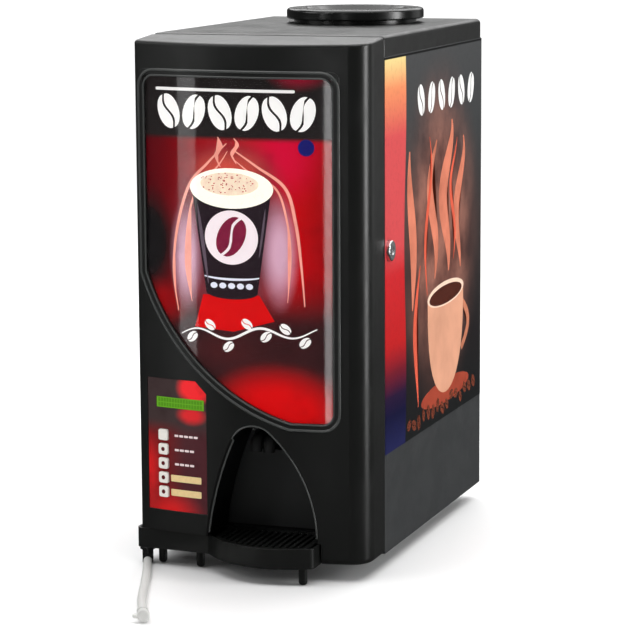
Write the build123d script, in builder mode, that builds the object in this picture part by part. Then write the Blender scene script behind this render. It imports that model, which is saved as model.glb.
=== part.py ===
from build123d import *
import os
from math import cos, pi, radians, sin, sqrt, tan

# Hot coffee vending machine for a counter top, with powder canisters and a bottle on its top cover.
# Millimetres. X to the machine's right, Y to the back, Z up. The origin is on the counter, in the
# middle of the machine's footprint without its drain hose. Depths that are written with seam_y are
# measured from the seam between the door and the cabinet.

os.makedirs("parts", exist_ok=True)

# ---------------------------------------------------------------- driving dimensions
# Cabinet
cab_w = 284.0  # across the side panels
cab_d = 400.0  # from the door seam to the back panel
cab_h = 600.0  # from the base pan to the top of the cover
foot_h = 20.0
cover_h = 24.0  # skirt of the top cover
cover_wall = 2.5
cover_edge_r = 6.0
sheet = 2.0  # painted steel
fit = 0.3  # clearance between pieces that move past each other
run_fit = 0.05  # radial clearance of a shaft in its bore
screw_r = 2.0
tray_reach = 107.0  # how far the tray stands out in front of the seam
rear_reach = 3.0  # how far the inlet stands out behind the back panel

half_w = cab_w / 2
seam_y = -(cab_d + rear_reach - tray_reach) / 2
back_y = seam_y + cab_d
base_z = foot_h
top_z = base_z + cab_h
cover_z = top_z - cover_h
inner_w = cab_w - 2 * sheet

# Feet
foot_r = 15.0
foot_in = 45.0  # from the sides and the back
foot_in_front = 80.0

# Front frame
frame_side = 14.0
frame_bottom = 24.0
frame_top = 14.0

# Bottle seat
seat_x = 12.0
seat_y = seam_y + 285.0
seat_r = 85.0
seat_neck_r = 76.0
seat_neck_h = 5.0
seat_h = 18.0
seat_mouth_r = 62.0
throat_r = 28.5
throat_h = 18.0
seat_wall = 3.0
seat_bowl_drop = 14.0  # depth of the cone below the cover's top face

# Component frame, a sheet bent like a Z
low_wall_y = seam_y + 100.0
high_wall_y = seam_y + 230.0
shelf_z = 320.0
high_wall_top = 576.0
side_x = (-68.0, 68.0)  # the two powder lines
side_names = ("left", "right")

# Canisters
can_w = 124.0
can_front = seam_y + 60.0
can_back = seam_y + 222.0
can_wall = 2.5
can_top = 520.0
auger_z = 344.0
trough_r = 19.0
hopper_z = 374.0
outlet_len = 12.0
lid_h = 7.0
auger_shaft_r = 3.5
auger_flight_r = 16.0
auger_pitch = 14.0
auger_flights = 11
spout_wall = 2.2
spout_drop = 40.0

# Mixing bowls
bowl_y = seam_y + 58.0
bowl_top = 300.0
bowl_r = 34.0
whip_z = 250.0
whip_r = 16.5
bowl_wall = 2.5
impeller_r = 13.0
impeller_shaft_r = 2.5
outlet_r = 5.0

# Water
tank_w = 160.0
tank_d = 150.0
tank_z = 500.0
tank_h = 72.0
tank_wall = 2.5
boiler_r = 55.0
boiler_y = seam_y + 308.0
boiler_z = 250.0
boiler_h = 180.0
boiler_wall = 2.0
tube_r = 4.0
tube_bore_r = 2.5

# Exhaust fan
fan_x = -84.0
fan_z = 440.0
fan_size = 80.0
fan_deep = 25.0
fan_duct_r = 37.0
fan_hub_r = 14.0
fan_shaft_r = 1.5
fan_blades = 7

# Power inlet
inlet_x = 92.0
inlet_z = 80.0
inlet_w = 50.0
inlet_h = 78.0
rocker_w = 20.0
rocker_l = 26.0
rocker_tilt = 8.0

# Door
door_gap = 1.0
door_wall = 3.0
bow_r = 552.0  # radius of the bowed front, seen from above
bow_x = 10.0
bow_depth = 76.0
corner_left_r = 8.0
corner_right_r = 27.0
hinge_in = 7.0
door_top_drop = 6.0
door_low = 44.0  # lower edge above the drip tray
column_x = 88.0  # the door's right column runs down beside the tray
hinge_z = (112.0, 330.0, 542.0)
knuckle_h = 20.0
boss_h = 12.0
pin_r = 2.5
cover_plate = 1.5
cover_plate_in = 2.5

# Window in the door
win_left = -127.0
win_right = 102.5
win_top = 574.5
win_bottom = 184.0
win_corner_r = 12.0
win_sweep_top = 350.0
win_sweep_mid = (-50.0, 239.5)
win_sweep_end = 54.0
bezel_w = 8.5
bezel_proud = 1.2
glazing_t = 2.5
graphic_t = 1.0
graphic_lap = 6.0

# Control fascia
fascia_left = -129.0
fascia_right = -50.5
fascia_top = 225.0
fascia_low = 69.0
fascia_cut = 14.0
fascia_t = 2.0
fascia_in = 0.6
display_w = 64.0
display_h = 13.0
display_x = -85.5
display_z = 197.0
button_x = -107.7
button_z0 = 158.6
button_pitch = 16.9
button_count = 5
button_side = 13.0
button_corner = 2.5
button_proud = 1.8
button_flange = 1.4

# Cup niche
niche_left_mid = (-41.5, 90.0)
niche_left_top = (-17.0, 161.0)
niche_apex = (4.0, 176.5)
niche_right_top = (26.0, 171.0)
niche_right_mid = (64.0, 122.0)
niche_right_x = 82.0
niche_left_x = -50.0
niche_wall = 2.5
niche_back_in = 6.0
port_left = -14.0
port_right = 26.0
port_low = 138.0
port_high = 164.0
nozzle_x = (-3.0, 13.0)
nozzle_z = 154.0
nozzle_reach = 36.0

# Drip tray
tray_left = -147.0
tray_right = 86.0
tray_back = 14.0  # in front of the seam
tray_front_left = 56.0
tray_front_step = 62.0
tray_step_x = -54.0
bulge_x = 31.6
bulge_r = 100.6
bulge_start_x = -42.0
tray_wall = 2.5
tray_rim_gap = 0.5
peg_r = 5.0
peg_places = ((-119.0, -43.0), (-69.0, -49.0), (73.0, -90.0))
peg_gap = 0.5
grid_left = -42.0
grid_right = 79.0
grid_back = 18.0
grid_t = 2.7
grid_slot = 4.0
grid_pitch = 8.0
drain_x = -136.0
drain_y = seam_y - 49.0

# Drain hose
hose_r = 5.0
hose_points = [
    (-131.0, -210.0, 5.5),
    (-115.0, -250.0, 5.3),
    (-98.5, -293.5, 5.2),
    (-82.0, -339.0, 5.3),
    (-66.5, -380.5, 6.0),
    (-48.0, -420.0, 7.6),
]
stopper_r = 7.0
stopper_l = 26.0

# Lock
lock_y = seam_y + 16.0
lock_z = 374.0
lock_r = 12.0
lock_body_r = 9.0
lock_proud = 5.0
lock_plug_r = 5.0
cam_x = 117.0
cam_t = 2.0
cam_l = 15.0
cam_half = 6.0


# ---------------------------------------------------------------- shared outlines
def bow_y(x, inset=0.0):
    """The Y of the bowed front at x, that far inside its outer face."""
    radius = bow_r - inset
    return seam_y - bow_depth + bow_r - sqrt(radius**2 - (x - bow_x) ** 2)


def door_plan(inset, rear):
    """The door seen from above, shrunk by inset, with its rear edge at rear."""
    half = half_w - inset
    left = (-half, bow_y(-half, inset))
    right = (half, bow_y(half, inset))
    with BuildSketch(Plane.XY) as plan:
        with BuildLine():
            ThreePointArc(left, (bow_x, bow_y(bow_x, inset)), right)
            Polyline(right, (half, rear), (-half, rear), left)
        make_face()
        fillet(plan.vertices().sort_by_distance(left)[0], max(corner_left_r - inset, 1.0))
        fillet(plan.vertices().sort_by_distance(right)[0], max(corner_right_r - inset, 1.0))
    return plan.sketch


def bowed_sheet(near, far):
    """A full-height skin of the door's front, between two depths below its outer face."""
    with BuildPart() as skin:
        add(door_plan(near, seam_y))
        extrude(amount=top_z)
        extrude(door_plan(far, seam_y + 1), amount=top_z, mode=Mode.SUBTRACT)
    return skin.part


def window_outline(grow):
    """The window seen from the front, with its long curved corner at the lower left."""
    with BuildSketch(Plane.XZ) as outline:
        with BuildLine():
            Polyline(
                (win_sweep_end, win_bottom),
                (win_right, win_bottom),
                (win_right, win_top),
                (win_left, win_top),
                (win_left, win_sweep_top),
            )
            ThreePointArc((win_left, win_sweep_top), win_sweep_mid, (win_sweep_end, win_bottom))
        make_face()
        corners = outline.vertices()
        fillet(corners.filter_by(lambda v: v.Z > win_sweep_top + 1), win_corner_r)
        fillet(outline.vertices().sort_by_distance((win_right, 0, win_bottom))[0], win_corner_r)
        if grow:
            offset(amount=grow)
    return outline.sketch


def fascia_outline(grow):
    """The control fascia seen from the front, with its upper right corner cut off."""
    with BuildSketch(Plane.XZ) as outline:
        with BuildLine():
            Polyline(
                (fascia_left, fascia_low),
                (fascia_right, fascia_low),
                (fascia_right, fascia_top - fascia_cut),
                (fascia_right - fascia_cut, fascia_top),
                (fascia_left, fascia_top),
                close=True,
            )
        make_face()
        if grow:
            offset(amount=grow)
    return outline.sketch


def niche_outline(grow):
    """The cup niche seen from the front, a leaning pointed arch, open below."""
    with BuildSketch(Plane.XZ) as outline:
        with BuildLine():
            ThreePointArc((niche_left_x, door_low), niche_left_mid, niche_left_top)
            ThreePointArc(niche_left_top, niche_apex, niche_right_top)
            ThreePointArc(niche_right_top, niche_right_mid, (niche_right_x, door_low))
            Line((niche_right_x, door_low), (niche_left_x, door_low))
        make_face()
        if grow:
            offset(amount=grow)
    return outline.sketch


def tray_outline(inset):
    """The drip tray seen from above: straight at the left, bulging forward at the right."""
    with BuildSketch(Plane.XY) as outline:
        bulge_y = seam_y - tray_reach + bulge_r
        start_y = bulge_y - sqrt(bulge_r**2 - (bulge_start_x - bulge_x) ** 2)
        end_y = bulge_y - sqrt(bulge_r**2 - (tray_right - bulge_x) ** 2)
        with BuildLine():
            Polyline(
                (bulge_start_x, start_y),
                (tray_step_x, seam_y - tray_front_step),
                (tray_left, seam_y - tray_front_left),
                (tray_left, seam_y - tray_back),
                (tray_right, seam_y - tray_back),
                (tray_right, end_y),
            )
            ThreePointArc(
                (bulge_start_x, start_y),
                (bulge_x, seam_y - tray_reach),
                (tray_right, end_y),
            )
        make_face()
        fillet(outline.vertices().sort_by_distance((tray_left, seam_y - tray_back))[0], 10)
        fillet(outline.vertices().sort_by_distance((tray_left, seam_y - tray_front_left))[0], 7)
        fillet(outline.vertices().sort_by_distance((tray_step_x, seam_y - tray_front_step))[0], 8)
        fillet(outline.vertices().sort_by_distance((tray_right, end_y))[0], 8)
        if inset:
            offset(amount=-inset)
    return outline.sketch


def button_plane(z):
    """The tangent plane of the bowed front at one button, its Z pointing outwards."""
    centre_y = seam_y - bow_depth + bow_r
    out = Vector(button_x - bow_x, bow_y(button_x) - centre_y, 0).normalized()
    return Plane(origin=(button_x, bow_y(button_x), z), x_dir=(-out.Y, out.X, 0), z_dir=out)


# ---------------------------------------------------------------- base pan, feet and frame
pan_h = 22.0
pan_mid_y = (seam_y + back_y) / 2
foot_places = [
    (sx * (half_w - foot_in), y)
    for sx in (-1, 1)
    for y in (seam_y + foot_in_front, back_y - foot_in)
]

with BuildPart() as base_pan:
    with BuildSketch(Plane.XY.offset(base_z)):
        with Locations((0, pan_mid_y)):
            Rectangle(inner_w, cab_d - 2 * sheet)
    extrude(amount=pan_h)
    offset(amount=-sheet, openings=base_pan.faces().sort_by(Axis.Z)[-1])
    with BuildSketch(Plane.XY.offset(base_z)):
        with Locations(foot_places):
            Circle(screw_r + run_fit)
    extrude(amount=sheet, mode=Mode.SUBTRACT)
base_pan.part.label = "base_pan"
export_step(base_pan.part, "parts/base_pan.step")

with BuildPart() as rubber_feet:
    with Locations([(x, y, 0) for x, y in foot_places]):
        Cone(foot_r - 3, foot_r, foot_h, align=(Align.CENTER, Align.CENTER, Align.MIN))
    chamfer(rubber_feet.edges().group_by(Axis.Z)[0], 1.0)
    with BuildSketch(Plane.XY):
        with Locations(foot_places):
            Circle(5)
    extrude(amount=foot_h - 6, mode=Mode.SUBTRACT)
    with BuildSketch(Plane.XY):
        with Locations(foot_places):
            Circle(screw_r + run_fit)
    extrude(amount=foot_h, mode=Mode.SUBTRACT)
rubber_feet.part.label = "rubber_feet"
export_step(rubber_feet.part, "parts/rubber_feet.step")

# The front frame, with the fixed knuckles of the door hinge welded to its left edge
pin_x = -half_w + hinge_in
pin_y = seam_y - door_gap - hinge_in
knuckle_r = 6.0
knuckle_arm = 8.0
with BuildPart() as front_frame:
    with BuildSketch(Plane.XZ.offset(-seam_y)):
        with Locations((0, (base_z + cover_z) / 2)):
            Rectangle(inner_w, cover_z - base_z)
        with Locations((0, (base_z + frame_bottom + cover_z - frame_top) / 2)):
            Rectangle(
                inner_w - 2 * frame_side,
                cover_z - frame_top - base_z - frame_bottom,
                mode=Mode.SUBTRACT,
            )
    extrude(amount=-sheet)
    for z in hinge_z:
        with BuildSketch(Plane.XY.offset(z)):
            with Locations((pin_x, pin_y)):
                Circle(knuckle_r)
            with Locations((pin_x, (pin_y + seam_y) / 2)):
                Rectangle(knuckle_arm, seam_y - pin_y)
            with Locations((pin_x, pin_y)):
                Circle(pin_r + run_fit, mode=Mode.SUBTRACT)
        extrude(amount=knuckle_h / 2, both=True)
front_frame.part.label = "front_frame"
export_step(front_frame.part, "parts/front_frame.step")

# The bent sheet that carries the mixing bowls in front and the boiler behind
wall_low_z = base_z + sheet
frame_half = inner_w / 2 - sheet
bowl_holes = [(x, whip_z) for x in side_x]
valve_x = (-28.0, 28.0)
valve_z = 262.0
with BuildPart() as component_frame:
    with BuildSketch(Plane.YZ.offset(-frame_half)):
        with BuildLine():
            Polyline(
                (low_wall_y, wall_low_z),
                (low_wall_y, shelf_z + sheet),
                (high_wall_y, shelf_z + sheet),
                (high_wall_y, high_wall_top),
                (high_wall_y + sheet, high_wall_top),
                (high_wall_y + sheet, shelf_z),
                (low_wall_y + sheet, shelf_z),
                (low_wall_y + sheet, wall_low_z),
                close=True,
            )
        make_face()
    extrude(amount=2 * frame_half)
    with BuildSketch(Plane.XZ.offset(-low_wall_y)):
        with Locations(bowl_holes):
            Circle(4.5)
        with Locations([(x, valve_z) for x in valve_x]):
            Circle(tube_r + 1)
    extrude(amount=-sheet, mode=Mode.SUBTRACT)
    with BuildSketch(Plane.XZ.offset(-high_wall_y)):
        with Locations([(x, auger_z) for x in side_x]):
            Circle(auger_shaft_r + 2)
    extrude(amount=-sheet, mode=Mode.SUBTRACT)
component_frame.part.label = "component_frame"
export_step(component_frame.part, "parts/component_frame.step")

# ---------------------------------------------------------------- side panels and their printed sheets
graphic_low = base_z + 116.0
graphic_skin = 0.5
flange = 14.0
panel_screw_z = (46.0, 215.0, 395.0, 570.0)
flange_y = back_y - sheet
screw_spots = [(sx * (inner_w / 2 - flange / 2), z) for sx in (-1, 1) for z in panel_screw_z]
for sign, side in ((-1, "left"), (1, "right")):
    with BuildPart() as side_panel:
        with BuildSketch(Plane.XY.offset(base_z)):
            with Locations((sign * (half_w - sheet / 2), pan_mid_y)):
                Rectangle(sheet, cab_d)
        extrude(amount=cover_z - base_z)
        with BuildSketch(Plane.XY.offset(base_z + pan_h)):
            with Locations((sign * (inner_w - flange) / 2, flange_y - sheet / 2)):
                Rectangle(flange, sheet)
        extrude(amount=cover_z - base_z - pan_h)
        with BuildSketch(Plane.XZ.offset(-flange_y)):
            with Locations([spot for spot in screw_spots if spot[0] * sign > 0]):
                Circle(screw_r + run_fit)
        extrude(amount=sheet, mode=Mode.SUBTRACT)
        if side == "right":
            with BuildSketch(Plane.YZ.offset(half_w)):
                with Locations((lock_y, lock_z)):
                    Circle(lock_body_r + run_fit)
            extrude(amount=-sheet, mode=Mode.SUBTRACT)
    side_panel.part.label = f"side_panel_{side}"
    export_step(side_panel.part, f"parts/side_panel_{side}.step")

with BuildPart() as side_graphics:
    for sign in (-1, 1):
        with BuildSketch(Plane.YZ.offset(sign * (half_w + graphic_skin / 2))):
            with Locations((pan_mid_y, (graphic_low + cover_z) / 2)):
                Rectangle(cab_d - 2, cover_z - graphic_low - 2)
        extrude(amount=graphic_skin / 2, both=True)
    with BuildSketch(Plane.YZ.offset(half_w)):
        with Locations((lock_y, lock_z)):
            Circle(lock_r + 0.5)
    extrude(amount=graphic_skin, mode=Mode.SUBTRACT)
side_graphics.part.label = "side_graphics"
export_step(side_graphics.part, "parts/side_graphics.step")

# ---------------------------------------------------------------- back panel and its screws
vent_z = (150.0, 172.0, 194.0)
vent_x = (-80.0, -30.0, 20.0)
guard_pitch = 8.0
inlet_lap = 3.0
with BuildPart() as back_panel:
    with BuildSketch(Plane.XZ.offset(-back_y)):
        with Locations((0, (base_z + cover_z) / 2)):
            Rectangle(inner_w, cover_z - base_z)
        with Locations((inlet_x, inlet_z)):
            Rectangle(
                inlet_w - 2 * inlet_lap + 2 * fit,
                inlet_h - 2 * inlet_lap + 2 * fit,
                mode=Mode.SUBTRACT,
            )
        with Locations(screw_spots):
            Circle(screw_r + run_fit, mode=Mode.SUBTRACT)
        with Locations([(x, z) for z in vent_z for x in vent_x]):
            SlotOverall(40, 6, mode=Mode.SUBTRACT)
        for step in range(-4, 5):
            slot_h = 2 * sqrt((fan_duct_r - 2) ** 2 - (step * guard_pitch) ** 2)
            with Locations((fan_x + step * guard_pitch, fan_z)):
                SlotOverall(slot_h, 4.5, rotation=90, mode=Mode.SUBTRACT)
    extrude(amount=sheet)
back_panel.part.label = "back_panel"
export_step(back_panel.part, "parts/back_panel.step")

screw_head_r = 3.8
screw_head_h = 2.0
with BuildPart() as cabinet_screws:
    with BuildSketch(Plane.XZ.offset(-back_y)):
        with Locations(screw_spots):
            Circle(screw_head_r)
    extrude(amount=-screw_head_h)
    fillet(cabinet_screws.edges().group_by(Axis.Y)[-1], 1.2)
    with BuildSketch(Plane.XZ.offset(-back_y)):
        with Locations(screw_spots):
            Circle(screw_r)
    extrude(amount=2 * sheet + 4)
    with BuildSketch(Plane.XY.offset(foot_h - 6)):
        with Locations(foot_places):
            Circle(screw_head_r)
    extrude(amount=-screw_head_h)
    with BuildSketch(Plane.XY.offset(foot_h - 6)):
        with Locations(foot_places):
            Circle(screw_r)
    extrude(amount=6 + sheet)
cabinet_screws.part.label = "cabinet_screws"
export_step(cabinet_screws.part, "parts/cabinet_screws.step")

# ---------------------------------------------------------------- top cover and bottle seat
cover_hole_r = 72.0
with BuildPart() as top_cover:
    with BuildSketch(Plane.XY.offset(cover_z)):
        with Locations((0, pan_mid_y)):
            Rectangle(cab_w, cab_d)
    extrude(amount=cover_h)
    fillet(top_cover.edges().filter_by(Axis.Z), cover_edge_r)
    fillet(top_cover.edges().group_by(Axis.Z)[-1], cover_edge_r)
    offset(amount=-cover_wall, openings=top_cover.faces().sort_by(Axis.Z)[0])
    with BuildSketch(Plane.XY.offset(top_z)):
        with Locations((seat_x, seat_y)):
            Circle(cover_hole_r)
    extrude(amount=-cover_h, mode=Mode.SUBTRACT)
top_cover.part.label = "top_cover"
export_step(top_cover.part, "parts/top_cover.step")

throat_top = top_z - seat_bowl_drop
throat_low = throat_top - throat_h
throat_out = throat_r + seat_wall
strainer_t = 4.0
with BuildPart() as bottle_seat:
    with BuildSketch(Plane.XZ.offset(-seat_y)):
        with BuildLine():
            Polyline(
                (seat_x + throat_r, throat_low),
                (seat_x + throat_r, throat_top),
                (seat_x + seat_mouth_r, top_z + seat_h),
                (seat_x + seat_r, top_z + seat_h),
                (seat_x + seat_r, top_z + seat_neck_h),
                (seat_x + seat_neck_r, top_z + seat_neck_h),
                (seat_x + seat_neck_r, top_z),
                (seat_x + throat_out + seat_bowl_drop, top_z),
                (seat_x + throat_out, throat_top),
                (seat_x + throat_out, throat_low),
                close=True,
            )
        make_face()
    revolve(axis=Axis((seat_x, seat_y, 0), (0, 0, 1)))
    rim = bottle_seat.edges().filter_by(GeomType.CIRCLE).filter_by(lambda e: abs(e.radius - seat_r) < 0.01)
    fillet(rim.sort_by(Axis.Z)[-1], 4.0)
    fillet(rim.sort_by(Axis.Z)[0], 2.0)
    with BuildSketch(Plane.XY.offset(throat_low - strainer_t)):
        with Locations((seat_x, seat_y)):
            Circle(throat_out)
            with PolarLocations(16, 8):
                Circle(3.5, mode=Mode.SUBTRACT)
    extrude(amount=strainer_t)
bottle_seat.part.label = "bottle_seat"
export_step(bottle_seat.part, "parts/bottle_seat.step")

# ---------------------------------------------------------------- water tank, boiler, valves and tubes
tank_y = high_wall_y + sheet + tank_d / 2
with BuildPart() as water_tank:
    with BuildSketch(Plane.XY.offset(tank_z)):
        with Locations((seat_x, tank_y)):
            RectangleRounded(tank_w, tank_d, 8)
    extrude(amount=tank_h)
    offset(amount=-tank_wall, openings=water_tank.faces().sort_by(Axis.Z)[-1])
    with BuildSketch(Plane.XY.offset(tank_z)):
        with Locations((seat_x, boiler_y)):
            Circle(tube_bore_r)
    extrude(amount=tank_wall, mode=Mode.SUBTRACT)
water_tank.part.label = "water_tank"
export_step(water_tank.part, "parts/water_tank.step")

boiler_top = boiler_z + boiler_h
element_low = boiler_z - 14.0
element_top = boiler_z + 120.0
element_half = 18.0
element_r = 4.0
element_collar_r = 7.0
element_collar_h = 5.0
with BuildPart() as boiler_tank:
    with BuildSketch(Plane.XY.offset(boiler_z)):
        with Locations((0, boiler_y)):
            Circle(boiler_r)
    extrude(amount=boiler_h)
    fillet(boiler_tank.edges().group_by(Axis.Z)[0], 8)
    offset(amount=-boiler_wall, openings=boiler_tank.faces().sort_by(Axis.Z)[-1])
    # The heating element, brazed into the floor
    with BuildLine(Plane.XZ.offset(-boiler_y)) as element_path:
        Line((-element_half, element_low), (-element_half, element_top))
        ThreePointArc(
            (-element_half, element_top),
            (0, element_top + element_half),
            (element_half, element_top),
        )
        Line((element_half, element_top), (element_half, element_low))
    with BuildSketch(Plane.XY.offset(element_low)):
        with Locations((-element_half, boiler_y)):
            Circle(element_r)
    sweep(path=element_path.wires()[0])
    with BuildSketch(Plane.XY.offset(boiler_z)):
        with Locations([(sx * element_half, boiler_y) for sx in (-1, 1)]):
            Circle(element_collar_r)
    extrude(amount=-element_collar_h)
boiler_tank.part.label = "boiler_tank"
export_step(boiler_tank.part, "parts/boiler_tank.step")

cap_lap = 5.0
cap_t = 6.0
port_y = boiler_y - 30.0
with BuildPart() as boiler_cap:
    with BuildSketch(Plane.XY.offset(boiler_top)):
        with Locations((0, boiler_y)):
            Circle(boiler_r + cap_lap)
        with Locations([(seat_x, boiler_y)] + [(x, port_y) for x in valve_x]):
            Circle(tube_bore_r, mode=Mode.SUBTRACT)
    extrude(amount=cap_t)
boiler_cap.part.label = "boiler_cap"
export_step(boiler_cap.part, "parts/boiler_cap.step")

band_z = boiler_z + 120.0
band_h = 16.0
with BuildPart() as boiler_band:
    with BuildSketch(Plane.XY.offset(band_z)):
        with Locations((0, boiler_y)):
            Circle(boiler_r + 2.5)
        with Locations((0, (high_wall_y + sheet + boiler_y) / 2)):
            Rectangle(30, boiler_y - high_wall_y - sheet)
        with Locations((0, high_wall_y + 1.5 * sheet)):
            Rectangle(64, sheet)
        with Locations((0, boiler_y)):
            Circle(boiler_r + 0.05, mode=Mode.SUBTRACT)
    extrude(amount=band_h)
boiler_band.part.label = "boiler_band"
export_step(boiler_band.part, "parts/boiler_band.step")

valve_y = low_wall_y + sheet
valve_top = valve_z + 40.0
with BuildPart() as water_valves:
    with BuildSketch(Plane.XZ.offset(-valve_y)):
        with Locations([(x, valve_z) for x in valve_x]):
            Circle(9)
    extrude(amount=-30)
    with BuildSketch(Plane.XY.offset(valve_z)):
        with Locations([(x, valve_y + 15.0) for x in valve_x]):
            Rectangle(26, 24)
    extrude(amount=valve_top - valve_z)
    fillet(water_valves.edges().filter_by(Axis.Z), 2)
    with BuildSketch(Plane.XZ.offset(-valve_y)):
        with Locations([(x, valve_z) for x in valve_x]):
            Circle(tube_bore_r)
    extrude(amount=-30, mode=Mode.SUBTRACT)
water_valves.part.label = "water_valves"
export_step(water_valves.part, "parts/water_valves.step")

# Silicone water tubes: tank to boiler, boiler to each valve, valve to each mixing bowl
valve_rear_y = valve_y + 30.0
riser_z = boiler_top + cap_t + 14.0
drop_y = high_wall_y + sheet + 8.0
tube_routes = [[(seat_x, boiler_y, tank_z), (seat_x, boiler_y, boiler_top + cap_t)]]
for sign in (-1, 1):
    vx = sign * 28.0
    tube_routes.append(
        [
            (vx, port_y, boiler_top + cap_t),
            (vx, port_y, riser_z),
            (vx, drop_y, riser_z),
            (vx, drop_y, valve_z),
            (vx, valve_rear_y, valve_z),
        ]
    )
    tube_routes.append(
        [
            (vx, valve_y, valve_z),
            (vx, low_wall_y - 10.0, valve_z),
            (vx, low_wall_y - 10.0, bowl_top + 6.0),
            (sign * 48.0, bowl_y + 14.0, bowl_top + 6.0),
            (sign * 48.0, bowl_y + 14.0, bowl_top - 4.0),
        ]
    )
with BuildPart() as water_tubes:
    for route in tube_routes:
        with BuildLine() as tube_path:
            if len(route) == 2:
                Line(route[0], route[1])
            else:
                FilletPolyline(*route, radius=5.0)
        start = Plane(origin=tube_path.line @ 0, z_dir=tube_path.line % 0)
        with BuildSketch(start):
            Circle(tube_r)
            Circle(tube_bore_r, mode=Mode.SUBTRACT)
        sweep(path=tube_path.line)
water_tubes.part.label = "water_tubes"
export_step(water_tubes.part, "parts/water_tubes.step")

# ---------------------------------------------------------------- mixing bowls, whippers and outlet tubes
chamber_front = seam_y + 36.0
chamber_back = low_wall_y
whip_motor_l = 38.0
bowl_out_y = chamber_front + 8.0
bowl_out_z = whip_z - 28.0
with BuildPart() as mixing_bowls:
    for x in side_x:
        with BuildSketch(Plane.XZ.offset(-chamber_front)):
            with Locations((x, whip_z)):
                Circle(whip_r + bowl_wall)
        extrude(amount=chamber_front - chamber_back)
        with BuildSketch(Plane.XY.offset(whip_z)):
            with Locations((x, bowl_y)):
                Circle(whip_r)
        with BuildSketch(Plane.XY.offset(bowl_top)):
            with Locations((x, bowl_y)):
                Circle(bowl_r)
        loft()
        with BuildSketch(Plane.XY.offset(bowl_out_z)):
            with Locations((x, bowl_out_y)):
                Circle(outlet_r + 2)
        extrude(amount=whip_z - bowl_out_z)
        with BuildSketch(Plane.XZ.offset(-chamber_back)):
            with Locations((x, whip_z)):
                Circle(whip_r + 7)
        extrude(amount=3)
        with BuildSketch(Plane.XZ.offset(-chamber_front - bowl_wall)):
            with Locations((x, whip_z)):
                Circle(whip_r)
        extrude(amount=chamber_front + bowl_wall - chamber_back, mode=Mode.SUBTRACT)
        with BuildSketch(Plane.XY.offset(whip_z)):
            with Locations((x, bowl_y)):
                Circle(whip_r - bowl_wall)
        with BuildSketch(Plane.XY.offset(bowl_top)):
            with Locations((x, bowl_y)):
                Circle(bowl_r - bowl_wall)
        loft(mode=Mode.SUBTRACT)
        with BuildSketch(Plane.XY.offset(bowl_out_z)):
            with Locations((x, bowl_out_y)):
                Circle(outlet_r)
        extrude(amount=whip_z - bowl_out_z, mode=Mode.SUBTRACT)
mixing_bowls.part.label = "mixing_bowls"
export_step(mixing_bowls.part, "parts/mixing_bowls.step")

for x, side in zip(side_x, side_names):
    with BuildPart() as impeller:
        with BuildSketch(Plane.XZ.offset(-bowl_y)):
            with Locations((x, whip_z)):
                Circle(impeller_r)
        extrude(amount=-2)
        with BuildSketch(Plane.XZ.offset(-bowl_y)):
            with Locations((x, whip_z)):
                Circle(5)
                with PolarLocations(8, 6):
                    Rectangle(8.5, 1.6)
        extrude(amount=8)
        with BuildSketch(Plane.XZ.offset(-bowl_y)):
            with Locations((x, whip_z)):
                Circle(impeller_shaft_r)
        extrude(amount=bowl_y - low_wall_y - sheet - 10)
    impeller.part.label = f"impeller_{side}"
    export_step(impeller.part, f"parts/impeller_{side}.step")

with BuildPart() as mixer_motors:
    with BuildSketch(Plane.XZ.offset(-low_wall_y - sheet)):
        with Locations(bowl_holes):
            Circle(18)
    extrude(amount=-whip_motor_l)
    fillet(mixer_motors.edges().group_by(Axis.Y)[-1], 3)
    with BuildSketch(Plane.XZ.offset(-low_wall_y - sheet)):
        with Locations(bowl_holes):
            Circle(impeller_shaft_r + run_fit)
    extrude(amount=-12, mode=Mode.SUBTRACT)
mixer_motors.part.label = "mixer_motors"
export_step(mixer_motors.part, "parts/mixer_motors.step")

with BuildPart() as outlet_tubes:
    for x, tip_x in zip(side_x, nozzle_x):
        with BuildLine() as outlet_path:
            FilletPolyline(
                (x, bowl_out_y, bowl_out_z),
                (x, bowl_out_y, bowl_out_z - 26),
                (tip_x, seam_y + 30, nozzle_z),
                (tip_x, seam_y - nozzle_reach, nozzle_z),
                (tip_x, seam_y - nozzle_reach, nozzle_z - 14),
                radius=(12, 12, 7),
            )
        with BuildSketch(Plane(origin=outlet_path.line @ 0, z_dir=(0, 0, -1))):
            Circle(outlet_r + 1.5)
            Circle(outlet_r - 1, mode=Mode.SUBTRACT)
        sweep(path=outlet_path.line)
outlet_tubes.part.label = "outlet_tubes"
export_step(outlet_tubes.part, "parts/outlet_tubes.step")

# ---------------------------------------------------------------- powder canisters, lids, augers and spouts
can_mid_y = (can_front + can_back) / 2
can_d = can_back - can_front


def canister_profile(x, inset):
    """The canister seen from the front: upright sides over a hopper with a round trough."""
    half = can_w / 2 - inset
    trough = trough_r + can_wall - inset
    with BuildSketch(Plane.XZ) as profile:
        with BuildLine():
            Polyline(
                (x - half, can_top),
                (x - half, hopper_z),
                (x - trough, auger_z),
                (x + trough, auger_z),
                (x + half, hopper_z),
                (x + half, can_top),
                close=True,
            )
        make_face()
        with Locations((x, auger_z)):
            Circle(trough)
    return profile.sketch


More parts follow.
